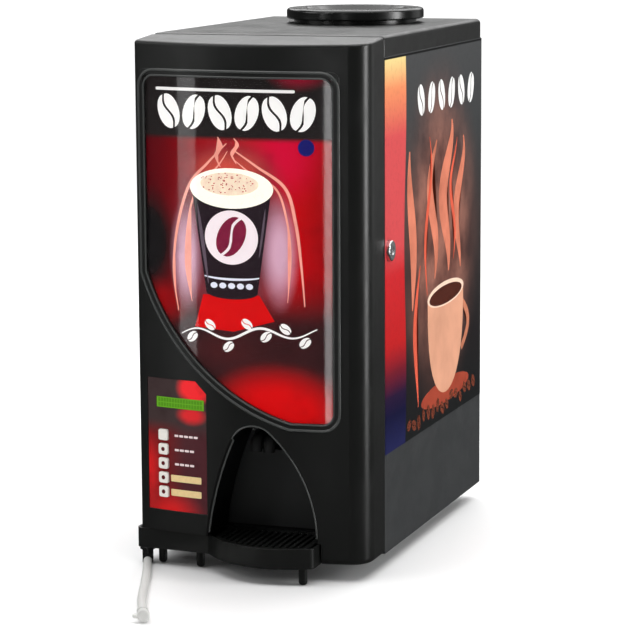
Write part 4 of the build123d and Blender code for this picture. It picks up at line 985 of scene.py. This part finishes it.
@dataclass
class WindowFrame:
    """The beads on the edges of the window's raised bezel, in a pale grey that paints their highlight lines.
    """

    front: BowedFront
    corner: float = 12 * MM
    sweep_top: float = 350 * MM
    sweep_middle: Flat = (-50 * MM, 239.5 * MM)
    sweep_end: float = 54 * MM
    outer_grow: float = 8.0 * MM
    inner_grow: float = 1.6 * MM

    def __post_init__(self) -> None:
        """Finds the window's edges from its glazing."""
        low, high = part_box("window_glazing")
        self.left, self.right, self.low, self.top = low[0], high[0], low[2], high[2]

    def outline(self, grow: float) -> list[Flat]:
        """The window's outline, grown outward.

        Args:
            grow: How far outward.

        Returns:
            The closed outline.
        """
        radius = self.corner + grow
        left, right = self.left - grow, self.right + grow
        low, top = self.low - grow, self.top + grow
        corners = (
            (right - radius, low + radius, 1.5 * pi),
            (right - radius, top - radius, 0.0),
            (left + radius, top - radius, 0.5 * pi),
        )
        line = []
        for across, up, start in corners:
            for step in range(9):
                angle = start + 0.5 * pi * step / 8
                line.append((across + radius * cos(angle), up + radius * sin(angle)))
        sweep = arc_through(
            (self.left, self.sweep_top), self.sweep_middle, (self.sweep_end, self.low), grow, 48
        )
        stretched = []
        for start, end in zip(line, line[1:] + sweep[:1]):
            pieces = max(1, round((Vector(end) - Vector(start)).length / self.front.cut))
            for step in range(pieces):
                share = step / pieces
                across = start[0] + (end[0] - start[0]) * share
                stretched.append((across, start[1] + (end[1] - start[1]) * share))
        return stretched + sweep

    def build(self) -> None:
        """Adds the outer and the inner bead."""
        # The beads' pale grey paints the bezel's highlight lines.
        for name, grow, inset, radius in (
            ("bezel_outer_bead", self.outer_grow, -0.9 * MM, 1.7 * MM),
            ("bezel_inner_bead", self.inner_grow, -0.6 * MM, 1.2 * MM),
        ):
            path = [self.front.point(across, up, inset) for across, up in self.outline(grow)]
            add_piece(name, bead(path, radius, True), "door", material_of(Finish.RIM_GREY))


@dataclass
class CupNiche:
    """The niche's back plate with a pale bead along its edge, and the lip round its mouth: both pale greys
    are painted highlights.
    """

    front: BowedFront
    foot: float = 46 * MM
    left_foot: Flat = (-50 * MM, 44 * MM)
    left_middle: Flat = (-41.5 * MM, 90 * MM)
    left_top: Flat = (-17 * MM, 161 * MM)
    apex: Flat = (4 * MM, 176.5 * MM)
    right_top: Flat = (26 * MM, 171 * MM)
    right_middle: Flat = (64 * MM, 122 * MM)
    right_foot: Flat = (82 * MM, 44 * MM)
    port_low: Flat = (-14.5 * MM, 137.5 * MM)
    port_high: Flat = (26.5 * MM, 164.5 * MM)
    split_x: float = 5 * MM
    plate_thick: float = 2.0 * MM
    wall: float = 2.5 * MM

    def arch(self, grow: float) -> list[Flat]:
        """The niche's arch from its left foot to its right one.

        Args:
            grow: How far outward, or inward where negative.

        Returns:
            The open line.
        """
        left = arc_through(self.left_foot, self.left_middle, self.left_top, -grow)
        top = arc_through(self.left_top, self.apex, self.right_top, grow, 12)
        right = arc_through(self.right_top, self.right_middle, self.right_foot, grow)
        return left + top + right

    def build(self) -> None:
        """Adds the plate, its bead and the lip."""
        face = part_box("niche_liner")[1][1] - self.wall
        inner = [(x, max(z, self.foot)) for x, z in self.arch(-1.0 * MM)]
        (port_left, port_floor), (port_right, port_top) = self.port_low, self.port_high
        top_z = max(z for _, z in inner)
        cut = (
            (self.split_x, top_z),
            (self.split_x, port_top),
            (port_left, port_top),
            (port_left, port_floor),
            (self.split_x, port_floor),
            (self.split_x, self.foot),
        )
        left = [spot for spot in inner if spot[0] < self.split_x] + list(cut)
        right = [spot for spot in inner if spot[0] > self.split_x]
        right += [(self.split_x, self.foot), (self.split_x, port_floor), (port_right, port_floor)]
        right += [(port_right, port_top), (self.split_x, port_top), (self.split_x, top_z)]
        mesh = bmesh.new()
        for outline in (left, right):
            mesh.faces.new([mesh.verts.new((across, 0.0, up)) for across, up in outline])
        bmesh.ops.remove_doubles(mesh, verts=mesh.verts, dist=0.01 * MM)
        bmesh.ops.triangulate(mesh, faces=mesh.faces)
        thick = self.plate_thick
        thicken(mesh, lambda place, back: Vector((place.x, face - thick * (1 - back), place.z)))
        grey = material_of(Finish.NICHE_GREY)
        add_piece("niche_back_plate", mesh, "door", grey, smooth=False)
        # The pale bead along the plate's edge is a painted highlight.
        path = [Vector((x, face - thick, max(z, self.foot + 1 * MM))) for x, z in self.arch(-3.4 * MM)]
        pale = material_of(Finish.PALE_BEAD)
        add_piece("niche_plate_bead", bead(path, 0.9 * MM, False), "door", pale)
        lip = [self.front.point(x, z, 0.3 * MM) for x, z in self.arch(1.2 * MM)[1:-1]]
        # The lip's pale grey is a painted highlight along the niche's mouth.
        rim = material_of(Finish.RIM_GREY)
        add_piece("niche_lip", bead(lip, 1.1 * MM, False), "door", rim)


@dataclass
class WindowPicture:
    """The picture behind the window: a cup with foam and steam, beans and a flourish."""

    front: BowedFront
    base_inset: float = 3.09 * MM
    layer: float = 0.018 * MM
    cup_middle: float = -17.5 * MM
    cup_top: float = 447 * MM
    cup_low: float = 331 * MM
    cup_top_half: float = 49 * MM
    cup_low_half: float = 32 * MM
    foam_tall: float = 23 * MM

    def print_layer(self, name: str, outlines: Sequence[Sequence[Flat]], level: int, ink: Ink) -> None:
        """Prints one colour of the picture.

        Args:
            name: The piece's name.
            outlines: Its shapes, across and up.
            level: How many layers lie under it.
            ink: Its ink.
        """
        mesh = self.front.lay(outlines, self.base_inset - level * self.layer, INK / 2)
        add_piece(name, mesh, "door", ink.build(name), smooth=False)

    def cup_outline(self, grow: float = 0.0) -> list[Flat]:
        """The cup's body, narrower below, with a curved foot."""
        outline = []
        for step in range(17):
            angle = pi * step / 16
            half = self.cup_low_half + grow
            outline.append((self.cup_middle + half * cos(angle), self.cup_low - (8 * MM + grow) * sin(angle)))
        outline.append((self.cup_middle - self.cup_top_half - grow, self.cup_top))
        outline.append((self.cup_middle + self.cup_top_half + grow, self.cup_top))
        return outline

    def build(self) -> None:
        """Dresses the film and prints the picture on it."""
        dress("graphic_panel", material_of(Finish.WINDOW_PRINT))
        self.print_headline()
        self.print_steam()
        self.print_cup()
        self.print_foam()
        self.print_table()
        self.print_garland()

    def print_headline(self) -> None:
        """A row of beans under a plain bar."""
        beans = [
            half
            for step in range(6)
            for half in coffee_bean((-96 * MM + 33 * MM * step, 535.5 * MM), 20 * MM, 0.35 - 0.7 * (step % 2))
        ]
        self.print_layer("picture_bean_row", beans, 1, Ink(tone(240, 238, 236), 0.4, 0.03))
        bar = [rounded_box((-113 * MM, 559 * MM), (60 * MM, 562.5 * MM), 1.6 * MM)]
        self.print_layer("picture_top_rule", bar, 1, Ink(tone(232, 230, 228), 0.4, 0.03))

    def print_steam(self) -> None:
        """Steam that rises on both sides of the cup and meets above it."""
        swirls = [
            ribbon(smooth_line([(x * MM, z * MM) for x, z in knots]), taper(half * MM, 0.3))
            for half, knots in (
                (1.9, ((-86, 306), (-92, 352), (-86, 404), (-70, 452), (-46, 478), (-22, 501))),
                (1.3, ((-68, 318), (-76, 360), (-72, 410), (-60, 448), (-34, 474), (-21, 492))),
                (1.9, ((70, 318), (66, 366), (60, 412), (48, 452), (14, 476), (-14, 494))),
                (1.3, ((50, 322), (54, 372), (50, 414), (38, 450), (10, 466), (-12, 482))),
                (1.5, ((-30, 474), (-36, 488), (-28, 497), (-33, 508))),
                (1.5, ((-10, 478), (-16, 490), (-8, 499), (-13, 507))),
            )
        ]
        self.print_layer("picture_steam", swirls, 1, Ink(tone(244, 158, 142), 0.34, 0.25, 50.0))

    def print_cup(self) -> None:
        """The cup with its label, its bean and its trim."""
        middle = self.cup_middle
        self.print_layer("picture_cup", [self.cup_outline()], 2, Ink(tone(38, 28, 34), 0.25, 0.25, 30.0))
        label = [ellipse((middle, 394 * MM), (33 * MM, 31 * MM))]
        self.print_layer("picture_cup_label", label, 3, Ink(tone(240, 226, 230), 0.35, 0.06, 30.0))
        bean = coffee_bean((middle, 395 * MM), 24 * MM, -0.5)
        self.print_layer("picture_cup_bean", bean, 4, Ink(tone(122, 30, 58), 0.3, 0.35, 90.0))
        hoop = [(middle + x * MM, (352 - 6 * sqrt(1 - (x / 40) ** 2)) * MM) for x in range(-34, 35, 4)]
        ring = ribbon(hoop, taper(1.4 * MM, 0.5))
        dot_half = (4.4 * MM, 3.4 * MM)
        dots = [ellipse((middle + 11 * step * MM, 338.5 * MM), dot_half, 20) for step in range(-2, 3)]
        self.print_layer("picture_cup_trim", [ring, *dots], 3, Ink(tone(222, 224, 236), 0.35, 0.05))

    def print_foam(self) -> None:
        """The foam in the cup, its dusting of cocoa and the shine on the cup's sides."""
        middle, top = self.cup_middle, self.cup_top
        foam = [ellipse((middle, top + 3 * MM), (self.cup_top_half + 2.5 * MM, self.foam_tall))]
        self.print_layer("picture_foam", foam, 3, Ink(tone(250, 244, 232), 0.42, 0.1, 160.0))
        crema = [ellipse((middle - 2 * MM, top + 8 * MM), (36 * MM, 13 * MM))]
        self.print_layer("picture_crema", crema, 4, Ink(tone(240, 214, 190), 0.38, 0.2, 160.0))
        shine = [
            ribbon(smooth_line([(middle + x * MM, z * MM) for x, z in knots]), taper(half * MM))
            for half, knots in (
                (2.2, ((-42, 430), (-36, 388), (-29, 340))),
                (1.3, ((42, 428), (38, 398), (34, 372))),
            )
        ]
        self.print_layer("picture_cup_shine", shine, 3, Ink(tone(96, 82, 94), 0.28, 0.2, 60.0))
        chance = random.Random(3)
        dusting = []
        for _ in range(70):
            angle, reach = 2 * pi * chance.random(), sqrt(chance.random())
            spot = (middle + (34 * reach * cos(angle) - 6) * MM, top + (9 + 12 * reach * sin(angle)) * MM)
            speck = ((0.5 + 0.8 * chance.random()) * MM, (0.4 + 0.4 * chance.random()) * MM)
            dusting.append(ellipse(spot, speck, 8))
        self.print_layer("picture_dusting", dusting, 5, Ink(tone(176, 74, 66), 0.3, 0.2))

    def print_table(self) -> None:
        """The red mat under the cup, and the blue spot beside the steam."""
        corners = ((-36, 327), (34, 329), (52, 300), (2, 286), (-47, 289))
        mat = [[(self.cup_middle + x * MM, z * MM) for x, z in corners]]
        self.print_layer("picture_mat", mat, 1, Ink(tone(206, 12, 14), 0.34, 0.12, 40.0))
        spot = [ellipse((72.5 * MM, 498 * MM), (9.5 * MM, 9.5 * MM))]
        self.print_layer("picture_blue_spot", spot, 1, Ink(tone(26, 28, 104), 0.3, 0.3, 80.0))

    def print_garland(self) -> None:
        """A vine with a bean at each turn."""
        vine = [((-82 + 166 * step / 60) * MM, self.vine_height(step / 60)) for step in range(61)]
        garland = [ribbon(vine, taper(1.5 * MM, 0.4))]
        for number in range(7):
            share = (number + 0.6) / 7.2
            side = 1 if number % 2 else -1
            spot = ((-82 + 166 * share) * MM, self.vine_height(share) + side * 9 * MM)
            garland += coffee_bean(spot, 7.5 * MM, 0.9 * side)
        self.print_layer("picture_garland", garland, 2, Ink(tone(236, 232, 230), 0.4, 0.04))

    @staticmethod
    def vine_height(share: float) -> float:
        """The height of the garland's vine at a share of its length."""
        return (280 + 6 * sin(4.2 * pi * share) + 9 * share) * MM


def taper(half: float, ends: float = 0.12) -> Callable[[float], float]:
    """A stroke's half width that swells in the middle.

    Args:
        half: Half width in the middle.
        ends: The share of it that is left at the ends.

    Returns:
        The half width as a function of the share of the stroke's length.
    """
    return lambda share: half * (ends + (1 - ends) * sin(pi * share))


@dataclass
class ControlPanel:
    """The overlay, its display, its keys and the marks beside them."""

    front: BowedFront
    key_x: float = -107.7 * MM
    first_key_z: float = 158.6 * MM
    key_pitch: float = 16.9 * MM
    key_proud: float = 1.8 * MM
    keys: int = 5
    overlay_inset: float = 0.6 * MM
    lens_inset: float = 1.2 * MM
    lens_half: Flat = (31.7 * MM, 6.2 * MM)
    lens_middle: Flat = (-85.5 * MM, 197 * MM)
    cells: int = 16

    def lay_lens(self) -> None:
        """The display's green lens and its blank character cells."""
        (across, up), (half, tall) = self.lens_middle, self.lens_half
        lens = [rounded_box((across - half, up - tall), (across + half, up + tall), 0.8 * MM)]
        ink = Ink(tone(98, 160, 38), 0.2, 0.06, 60.0)
        mesh = self.front.lay(lens, self.lens_inset - 0.1 * MM, 0.08 * MM)
        add_piece("display_lens", mesh, "door", ink.build("display_lens"), smooth=False)
        pitch = 2 * (half - 2 * MM) / self.cells
        blocks = []
        for column in range(self.cells):
            left = across - half + 2 * MM + column * pitch
            for low in (up - 4.9 * MM, up + 0.5 * MM):
                corner = (left + pitch - 0.4 * MM, low + 4.4 * MM)
                blocks.append(rounded_box((left + 0.4 * MM, low), corner, 0.3 * MM, 2))
        mesh = self.front.lay(blocks, self.lens_inset - 0.13 * MM)
        dark = Ink(tone(78, 138, 30), 0.18, 0.05)
        add_piece("display_cells", mesh, "door", dark.build("display_cells"), smooth=False)

    def lay_marks(self) -> None:
        """A pale mark beside each key: short dashes, and cream bars at the last two."""
        dashes, bars = [], []
        for number in range(self.keys):
            up = self.first_key_z - number * self.key_pitch
            if number < 3:
                long = 32 * MM if number == 0 else 27 * MM
                count = 5 if number == 0 else 4
                start = -93 * MM
                for step in range(count):
                    left = start + long * step / count
                    right = left + long / count - 1.2 * MM
                    dashes.append(rounded_box((left, up - 1.3 * MM), (right, up + 1.3 * MM), 0.8 * MM, 3))
            else:
                bars.append(rounded_box((-98.5 * MM, up - 4 * MM), (-58 * MM, up + 4 * MM), 1.2 * MM))
        inset = self.overlay_inset - 0.03 * MM
        # The marks' light settings make them shine: a painted glow, as nothing lights the fascia from behind.
        white = Ink(tone(226, 208, 208), 0.15, 0.04)
        mesh = self.front.lay(dashes, inset)
        add_piece("key_dashes", mesh, "door", white.build("key_dashes"), smooth=False)
        cream = Ink(tone(226, 200, 146), 0.12, 0.12, 300.0)
        mesh = self.front.lay(bars, inset)
        add_piece("key_bars", mesh, "door", cream.build("key_bars"), smooth=False)

    def dot_key(self, number: int) -> None:
        """Prints the round mark on one key's face.

        Args:
            number: The key, from 1 at the top.
        """
        up = self.first_key_z - (number - 1) * self.key_pitch
        out = self.front.outward(self.key_x)
        along = Vector((-out.y, out.x, 0.0))
        middle = self.front.point(self.key_x, up, 0.0) + out * (self.key_proud + 0.01 * MM)
        mesh = bmesh.new()
        rings = ((2.5, 0.0), (2.5, 0.03), (2.1, 0.05), (0.9, 0.05))
        loops = []
        for radius, height in rings:
            loop = []
            for step in range(24):
                angle = 2 * pi * step / 24
                spot = middle + out * height * MM + along * (radius * MM * cos(angle))
                loop.append(mesh.verts.new(spot + Vector((0, 0, radius * MM * sin(angle)))))
            loops.append(loop)
        for inner, outer in zip(loops, loops[1:]):
            for step in range(24):
                mesh.faces.new((inner[step - 1], inner[step], outer[step], outer[step - 1]))
        mesh.faces.new(loops[0])
        mesh.faces.new(loops[-1])
        name = f"key_{number}_dot"
        ink = Ink(tone(88, 30, 34), 0.0, 0.1).build(name)
        add_piece(name, mesh, f"button_{number}", ink)

    def build(self) -> None:
        """Dresses the panel and adds its marks."""
        dress("control_fascia", material_of(Finish.FASCIA_PRINT))
        dress("display_module", material_of(Finish.DISPLAY_GREEN))
        for number in range(1, self.keys + 1):
            dress(f"button_{number}", material_of(Finish.CREAM_BUTTON))
            if number > 1:
                self.dot_key(number)
        self.lay_lens()
        self.lay_marks()


@dataclass
class SidePictures:
    """The printed films on both sides, with a cup, steam and beans on a dark field."""

    band_wide: float = 76 * MM
    layer: float = 0.04 * MM
    cup_y: float = 95 * MM
    cup_low: float = 168 * MM
    cup_top: float = 292 * MM

    def __post_init__(self) -> None:
        """Finds the films' faces and the seam that the pictures are measured from."""
        low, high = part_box("side_graphics")
        self.faces = (low[0], high[0])
        self.low, self.high, self.front_y = low[2], high[2], low[1]

    def print_layer(self, name: str, outlines: Sequence[Sequence[Flat]], level: int, ink: Ink) -> None:
        """Prints one colour of the picture on both sides.

        Args:
            name: The piece's name, to which the side is added.
            outlines: Its shapes in Y and Z.
            level: How many layers lie under it.
            ink: Its ink.
        """
        # The inks' light setting makes these side prints shine a little: a painted glow, as nothing lights
        # the side films from behind.
        material = ink.build(name)
        for side, face in zip(("left", "right"), self.faces):
            mesh = lay_flat(outlines, face, level * self.layer)
            add_piece(f"{name}_{side}", mesh, "cabinet", material, smooth=False)

    def curl(self, start: Flat, tall: float, sway: float, turns: float, phase: float) -> list[Flat]:
        """The middle of one wide curl of steam."""
        line = []
        for step in range(41):
            share = step / 40
            drift = sway * sin(phase + turns * pi * share) * (0.35 + 0.65 * share)
            line.append((start[0] + drift, start[1] + tall * share))
        return line

    def build(self) -> None:
        """Dresses the films and prints the pictures on them."""
        film = SidePrint(self.front_y + self.band_wide, self.low, self.high)
        dress("side_graphics", film.build("side_print"))
        middle = self.cup_y
        row = [
            half
            for step in range(6)
            for half in coffee_bean((-8 * MM + 42 * MM * step, 537 * MM), 19 * MM, 0.35 - 0.7 * (step % 2))
        ]
        self.print_layer("side_bean_row", row, 1, Ink(tone(226, 226, 224), 0.1, 0.03))
        curls = [
            ribbon(self.curl((-44 * MM, 290 * MM), 190 * MM, 12 * MM, 1.6, 0.4), taper(14 * MM)),
            ribbon(self.curl((44 * MM, 316 * MM), 168 * MM, 22 * MM, 2.0, 0.6), taper(13 * MM)),
            ribbon(self.curl((98 * MM, 318 * MM), 186 * MM, 24 * MM, 2.2, 1.4), taper(17 * MM)),
            ribbon(self.curl((152 * MM, 316 * MM), 164 * MM, 22 * MM, 2.0, 2.2), taper(12 * MM)),
        ]
        self.print_layer("side_steam", curls, 1, Ink(tone(196, 116, 92), 0.04, 0.45, 26.0))
        wisps = [
            ribbon(self.curl((18 * MM, 300 * MM), 190 * MM, 18 * MM, 1.8, 3.3), taper(5 * MM)),
            ribbon(self.curl((126 * MM, 330 * MM), 150 * MM, 16 * MM, 2.4, 0.2), taper(5 * MM)),
            ribbon(self.curl((-22 * MM, 170 * MM), 170 * MM, 16 * MM, 1.4, 2.6), taper(7 * MM)),
        ]
        self.print_layer("side_wisps", wisps, 2, Ink(tone(205, 88, 66), 0.04, 0.3, 30.0))
        body = []
        for step in range(25):
            share = step / 24
            angle = pi * share
            drop = (self.cup_top - self.cup_low) * sin(angle) ** 0.72
            body.append((middle + 76 * MM * cos(angle), self.cup_top - drop))
        self.print_layer("side_cup", [body], 2, Ink(tone(206, 150, 122), 0.04, 0.3, 18.0))
        handle = ribbon(
            [(middle + (68 + 30 * sin(pi * s / 20)) * MM, (274 - 62 * s / 20) * MM) for s in range(21)],
            taper(6 * MM, 0.7),
        )
        self.print_layer("side_cup_handle", [handle], 1, Ink(tone(178, 112, 86), 0.04, 0.3, 18.0))
        rim = [ellipse((middle, self.cup_top), (77 * MM, 15 * MM))]
        self.print_layer("side_cup_rim", rim, 3, Ink(tone(232, 200, 178), 0.04, 0.1))
        coffee = [ellipse((middle, self.cup_top - 1.5 * MM), (69 * MM, 11.5 * MM))]
        self.print_layer("side_coffee", coffee, 4, Ink(tone(70, 30, 20), 0.04, 0.4, 70.0))
        saucer = [ellipse((middle, self.cup_low + 2 * MM), (102 * MM, 15 * MM))]
        self.print_layer("side_saucer", saucer, 1, Ink(tone(150, 62, 44), 0.04, 0.3, 20.0))
        chance = random.Random(7)
        scattered = []
        for step in range(15):
            spot = ((-56 + 19.5 * step) * MM, (150 + 13 * chance.random()) * MM)
            scattered += coffee_bean(spot, (8 + 2 * chance.random()) * MM, 3 * chance.random())
        self.print_layer("side_beans", scattered, 5, Ink(tone(104, 50, 34), 0.04, 0.4, 120.0))


@dataclass
class CabinetShell:
    """The sheet metal, the top, the bottle seat, the back and the feet."""

    def build(self) -> None:
        """Dresses the cabinet's nodes."""
        for node in ("side_panel_left", "side_panel_right", "back_panel", "front_frame"):
            dress(node, material_of(Finish.GREY_PAINT))
        for node in ("base_pan", "component_frame"):
            dress(node, material_of(Finish.GALVANISED))
        dress("top_cover", material_of(Finish.BLACK_PLASTIC))
        for node in ("bottle_seat", "fan_frame", "fan_rotor", "power_inlet", "power_rocker"):
            dress(node, material_of(Finish.GLOSS_BLACK))
        dress("cabinet_screws", material_of(Finish.ZINC))
        dress("rubber_feet", material_of(Finish.RUBBER))
        dress("hinge_pins", material_of(Finish.STAINLESS))
        for node in ("lock_barrel", "lock_plug"):
            dress(node, material_of(Finish.ZINC))
        dress("lock_cam", material_of(Finish.STAINLESS))


@dataclass
class Works:
    """What makes the drink, behind the door."""

    def build(self) -> None:
        """Dresses the works' nodes."""
        for side in ("left", "right"):
            dress(f"canister_lid_{side}", material_of(Finish.BLACK_PLASTIC))
            dress(f"spout_{side}", material_of(Finish.BLACK_PLASTIC))
            dress(f"impeller_{side}", material_of(Finish.BLACK_PLASTIC))
            dress(f"auger_{side}", material_of(Finish.WHITE_PLASTIC))
        for node in ("canisters", "water_tank"):
            dress(node, material_of(Finish.CLEAR_CONTAINER))
        for node in ("mixing_bowls", "water_valves"):
            dress(node, material_of(Finish.WHITE_PLASTIC))
        for node in ("auger_motors", "mixer_motors"):
            dress(node, material_of(Finish.ZINC))
        for node in ("boiler_tank", "boiler_cap"):
            dress(node, material_of(Finish.STAINLESS))
        for node in ("boiler_band", "power_supply"):
            dress(node, material_of(Finish.GALVANISED))
        dress("water_tubes", material_of(Finish.SILICONE))
        dress("outlet_tubes", material_of(Finish.RUBBER))
        dress("relay_board", material_of(Finish.PCB_GREEN))


@dataclass
class DripTray:
    """The tray with its grid, its drain and the drain's hose."""

    hose_diameter: float = 10 * MM
    hose_length: float = 225.9 * MM
    hose_points: tuple[tuple[float, float, float], ...] = (
        (-0.1310, -0.2100, 0.0055),
        (-0.1150, -0.2500, 0.0053),
        (-0.0985, -0.2935, 0.0052),
        (-0.0820, -0.3390, 0.0053),
        (-0.0665, -0.3805, 0.0060),
        (-0.0480, -0.4200, 0.0076),
    )

    def lay_hose(self) -> None:
        """The hose as one smooth tube, from the drain to its stopper."""
        curve = bpy.data.curves.new("drain_hose_line", "CURVE")
        curve.dimensions = "3D"
        curve.bevel_depth = self.hose_diameter / 2
        curve.bevel_resolution = 8
        curve.resolution_u = 16
        curve.use_fill_caps = True
        line = curve.splines.new("NURBS")
        line.points.add(len(self.hose_points) - 1)
        for point, place in zip(line.points, self.hose_points):
            point.co = (*place, 1.0)
        line.order_u = 3
        line.use_endpoint_u = True
        curve.materials.append(material_of(Finish.SILICONE))
        hose = bpy.data.objects.new("drain_hose_line", curve)
        bpy.context.scene.collection.objects.link(hose)
        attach(hose, "tray")
        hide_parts("drain_hose")
        LOG.info("made drain_hose_line on tray")

    def build(self) -> None:
        """Dresses the tray and lays the hose."""
        dress("drip_tray", material_of(Finish.BLACK_PLASTIC))
        for node in ("drip_grid", "drain_elbow"):
            dress(node, material_of(Finish.GLOSS_BLACK))
        dress("hose_stopper", material_of(Finish.SILICONE))
        self.lay_hose()


# ------------------------------------------------------------------ studio
@dataclass(frozen=True)
class Softbox:
    """A rectangular light."""

    name: str
    place: tuple[float, float, float]
    aim: tuple[float, float, float]
    size: Flat
    power: float

    def build(self) -> None:
        """Hangs the light and turns it to its aim."""
        lamp = bpy.data.lights.new(self.name, "AREA")
        lamp.shape = "RECTANGLE"
        lamp.size, lamp.size_y = self.size
        lamp.energy = self.power
        item = bpy.data.objects.new(self.name, lamp)
        item.location = self.place
        item.visible_camera = False
        item.rotation_euler = (Vector(self.aim) - item.location).to_track_quat("-Z", "Y").to_euler()
        bpy.context.scene.collection.objects.link(item)


@dataclass
class Studio:
    """Floor, lights and camera."""

    floor_half: float = 30.0
    surround: float = 0.06
    camera_place: tuple[float, float, float] = (1.06856, -3.00911, 0.79101)
    camera_turn: float = 0.3378
    camera_pitch: float = 0.1631
    camera_roll: float = -0.0053
    lens: float = 149.56
    middle: tuple[float, float, float] = (0.0, 0.0, 0.3)
    lights: tuple[Softbox, ...] = field(
        default_factory=lambda: (
            Softbox("overhead", (0.0, 0.4, 3.2), (0.0, 0.2, 0.0), (4.6, 4.6), 190.0),
            Softbox("front_strip", (0.035, -3.3, 0.7), (0.0, 0.0, 0.35), (0.1, 2.4), 6.0),
            Softbox("left_strip", (-2.0, -2.55, 0.8), (0.0, 0.0, 0.35), (0.3, 2.4), 7.0),
            Softbox("top_glow", (-1.7, -2.6, 2.6), (0.0, 0.0, 0.5), (1.2, 0.7), 9.0),
            Softbox("right_strip", (3.1, 0.15, 0.8), (0.0, 0.0, 0.3), (0.9, 2.4), 72.0),
            Softbox("right_rear", (1.9, 2.6, 0.9), (0.0, 0.0, 0.3), (1.6, 2.2), 5.0),
            Softbox("left_fill", (-2.6, -1.2, 1.6), (0.0, 0.0, 0.3), (1.4, 1.4), 12.0),
            Softbox("far_floor", (-4.0, 14.0, 7.0), (-4.0, 13.9, 0.0), (20.0, 20.0), 2600.0),
        )
    )

    def lay_floor(self) -> None:
        """A wide pale floor."""
        mesh = bmesh.new()
        bmesh.ops.create_grid(mesh, x_segments=4, y_segments=4, size=self.floor_half)
        data = bpy.data.meshes.new("floor")
        mesh.to_mesh(data)
        mesh.free()
        shader = Shader("floor")
        pale = shader.blend((0.84, 0.84, 0.84), (0.87, 0.87, 0.87), shader.noise(2.0))
        shader.wire(pale, shader.surface.inputs["Base Color"])
        shader.set(Roughness=0.7)
        data.materials.append(shader.material)
        floor = bpy.data.objects.new("floor", data)
        floor.visible_glossy = False
        bpy.context.scene.collection.objects.link(floor)

    def light_world(self) -> None:
        """A plain, dim surround."""
        world = bpy.data.worlds.new("surround")
        world.use_nodes = True
        backdrop = world.node_tree.nodes["Background"]
        backdrop.inputs["Color"].default_value = (1.0, 1.0, 1.0, 1.0)
        backdrop.inputs["Strength"].default_value = self.surround
        bpy.context.scene.world = world
        bpy.context.scene.view_settings.view_transform = "Standard"

    def set_camera(self) -> None:
        """The camera, looking down a little from the right of the front."""
        data = bpy.data.cameras.new("camera")
        data.lens = self.lens
        camera = bpy.data.objects.new("camera", data)
        turn, pitch, roll = self.camera_turn, self.camera_pitch, self.camera_roll
        back = Vector((sin(turn) * cos(pitch), -cos(turn) * cos(pitch), sin(pitch)))
        right = (-back).cross(Vector((0, 0, 1))).normalized()
        up = right.cross(-back)
        level_right = right * cos(roll) + up * sin(roll)
        level_up = up * cos(roll) - right * sin(roll)
        turned = Matrix((level_right, level_up, back)).transposed().to_4x4()
        camera.matrix_world = Matrix.Translation(self.camera_place) @ turned
        bpy.context.scene.collection.objects.link(camera)
        bpy.context.scene.camera = camera

    def build(self) -> None:
        """Sets the studio up."""
        self.set_camera()
        self.lay_floor()
        self.light_world()
        for light in self.lights:
            light.build()


def main() -> None:
    """Builds the studio and dresses the machine, sub-assembly by sub-assembly."""
    logging.basicConfig(level=logging.INFO, format="%(name)s: %(message)s")
    Studio().build()
    front = BowedFront()
    assemblies = (
        DripTray(),
        DoorCasing(),
        WindowFrame(front),
        WindowPicture(front),
        CupNiche(front),
        ControlPanel(front),
        SidePictures(),
        CabinetShell(),
        Works(),
    )
    for assembly in assemblies:
        assembly.build()
        LOG.info("finished %s", type(assembly).__name__)


if __name__ == "__main__":
    main()
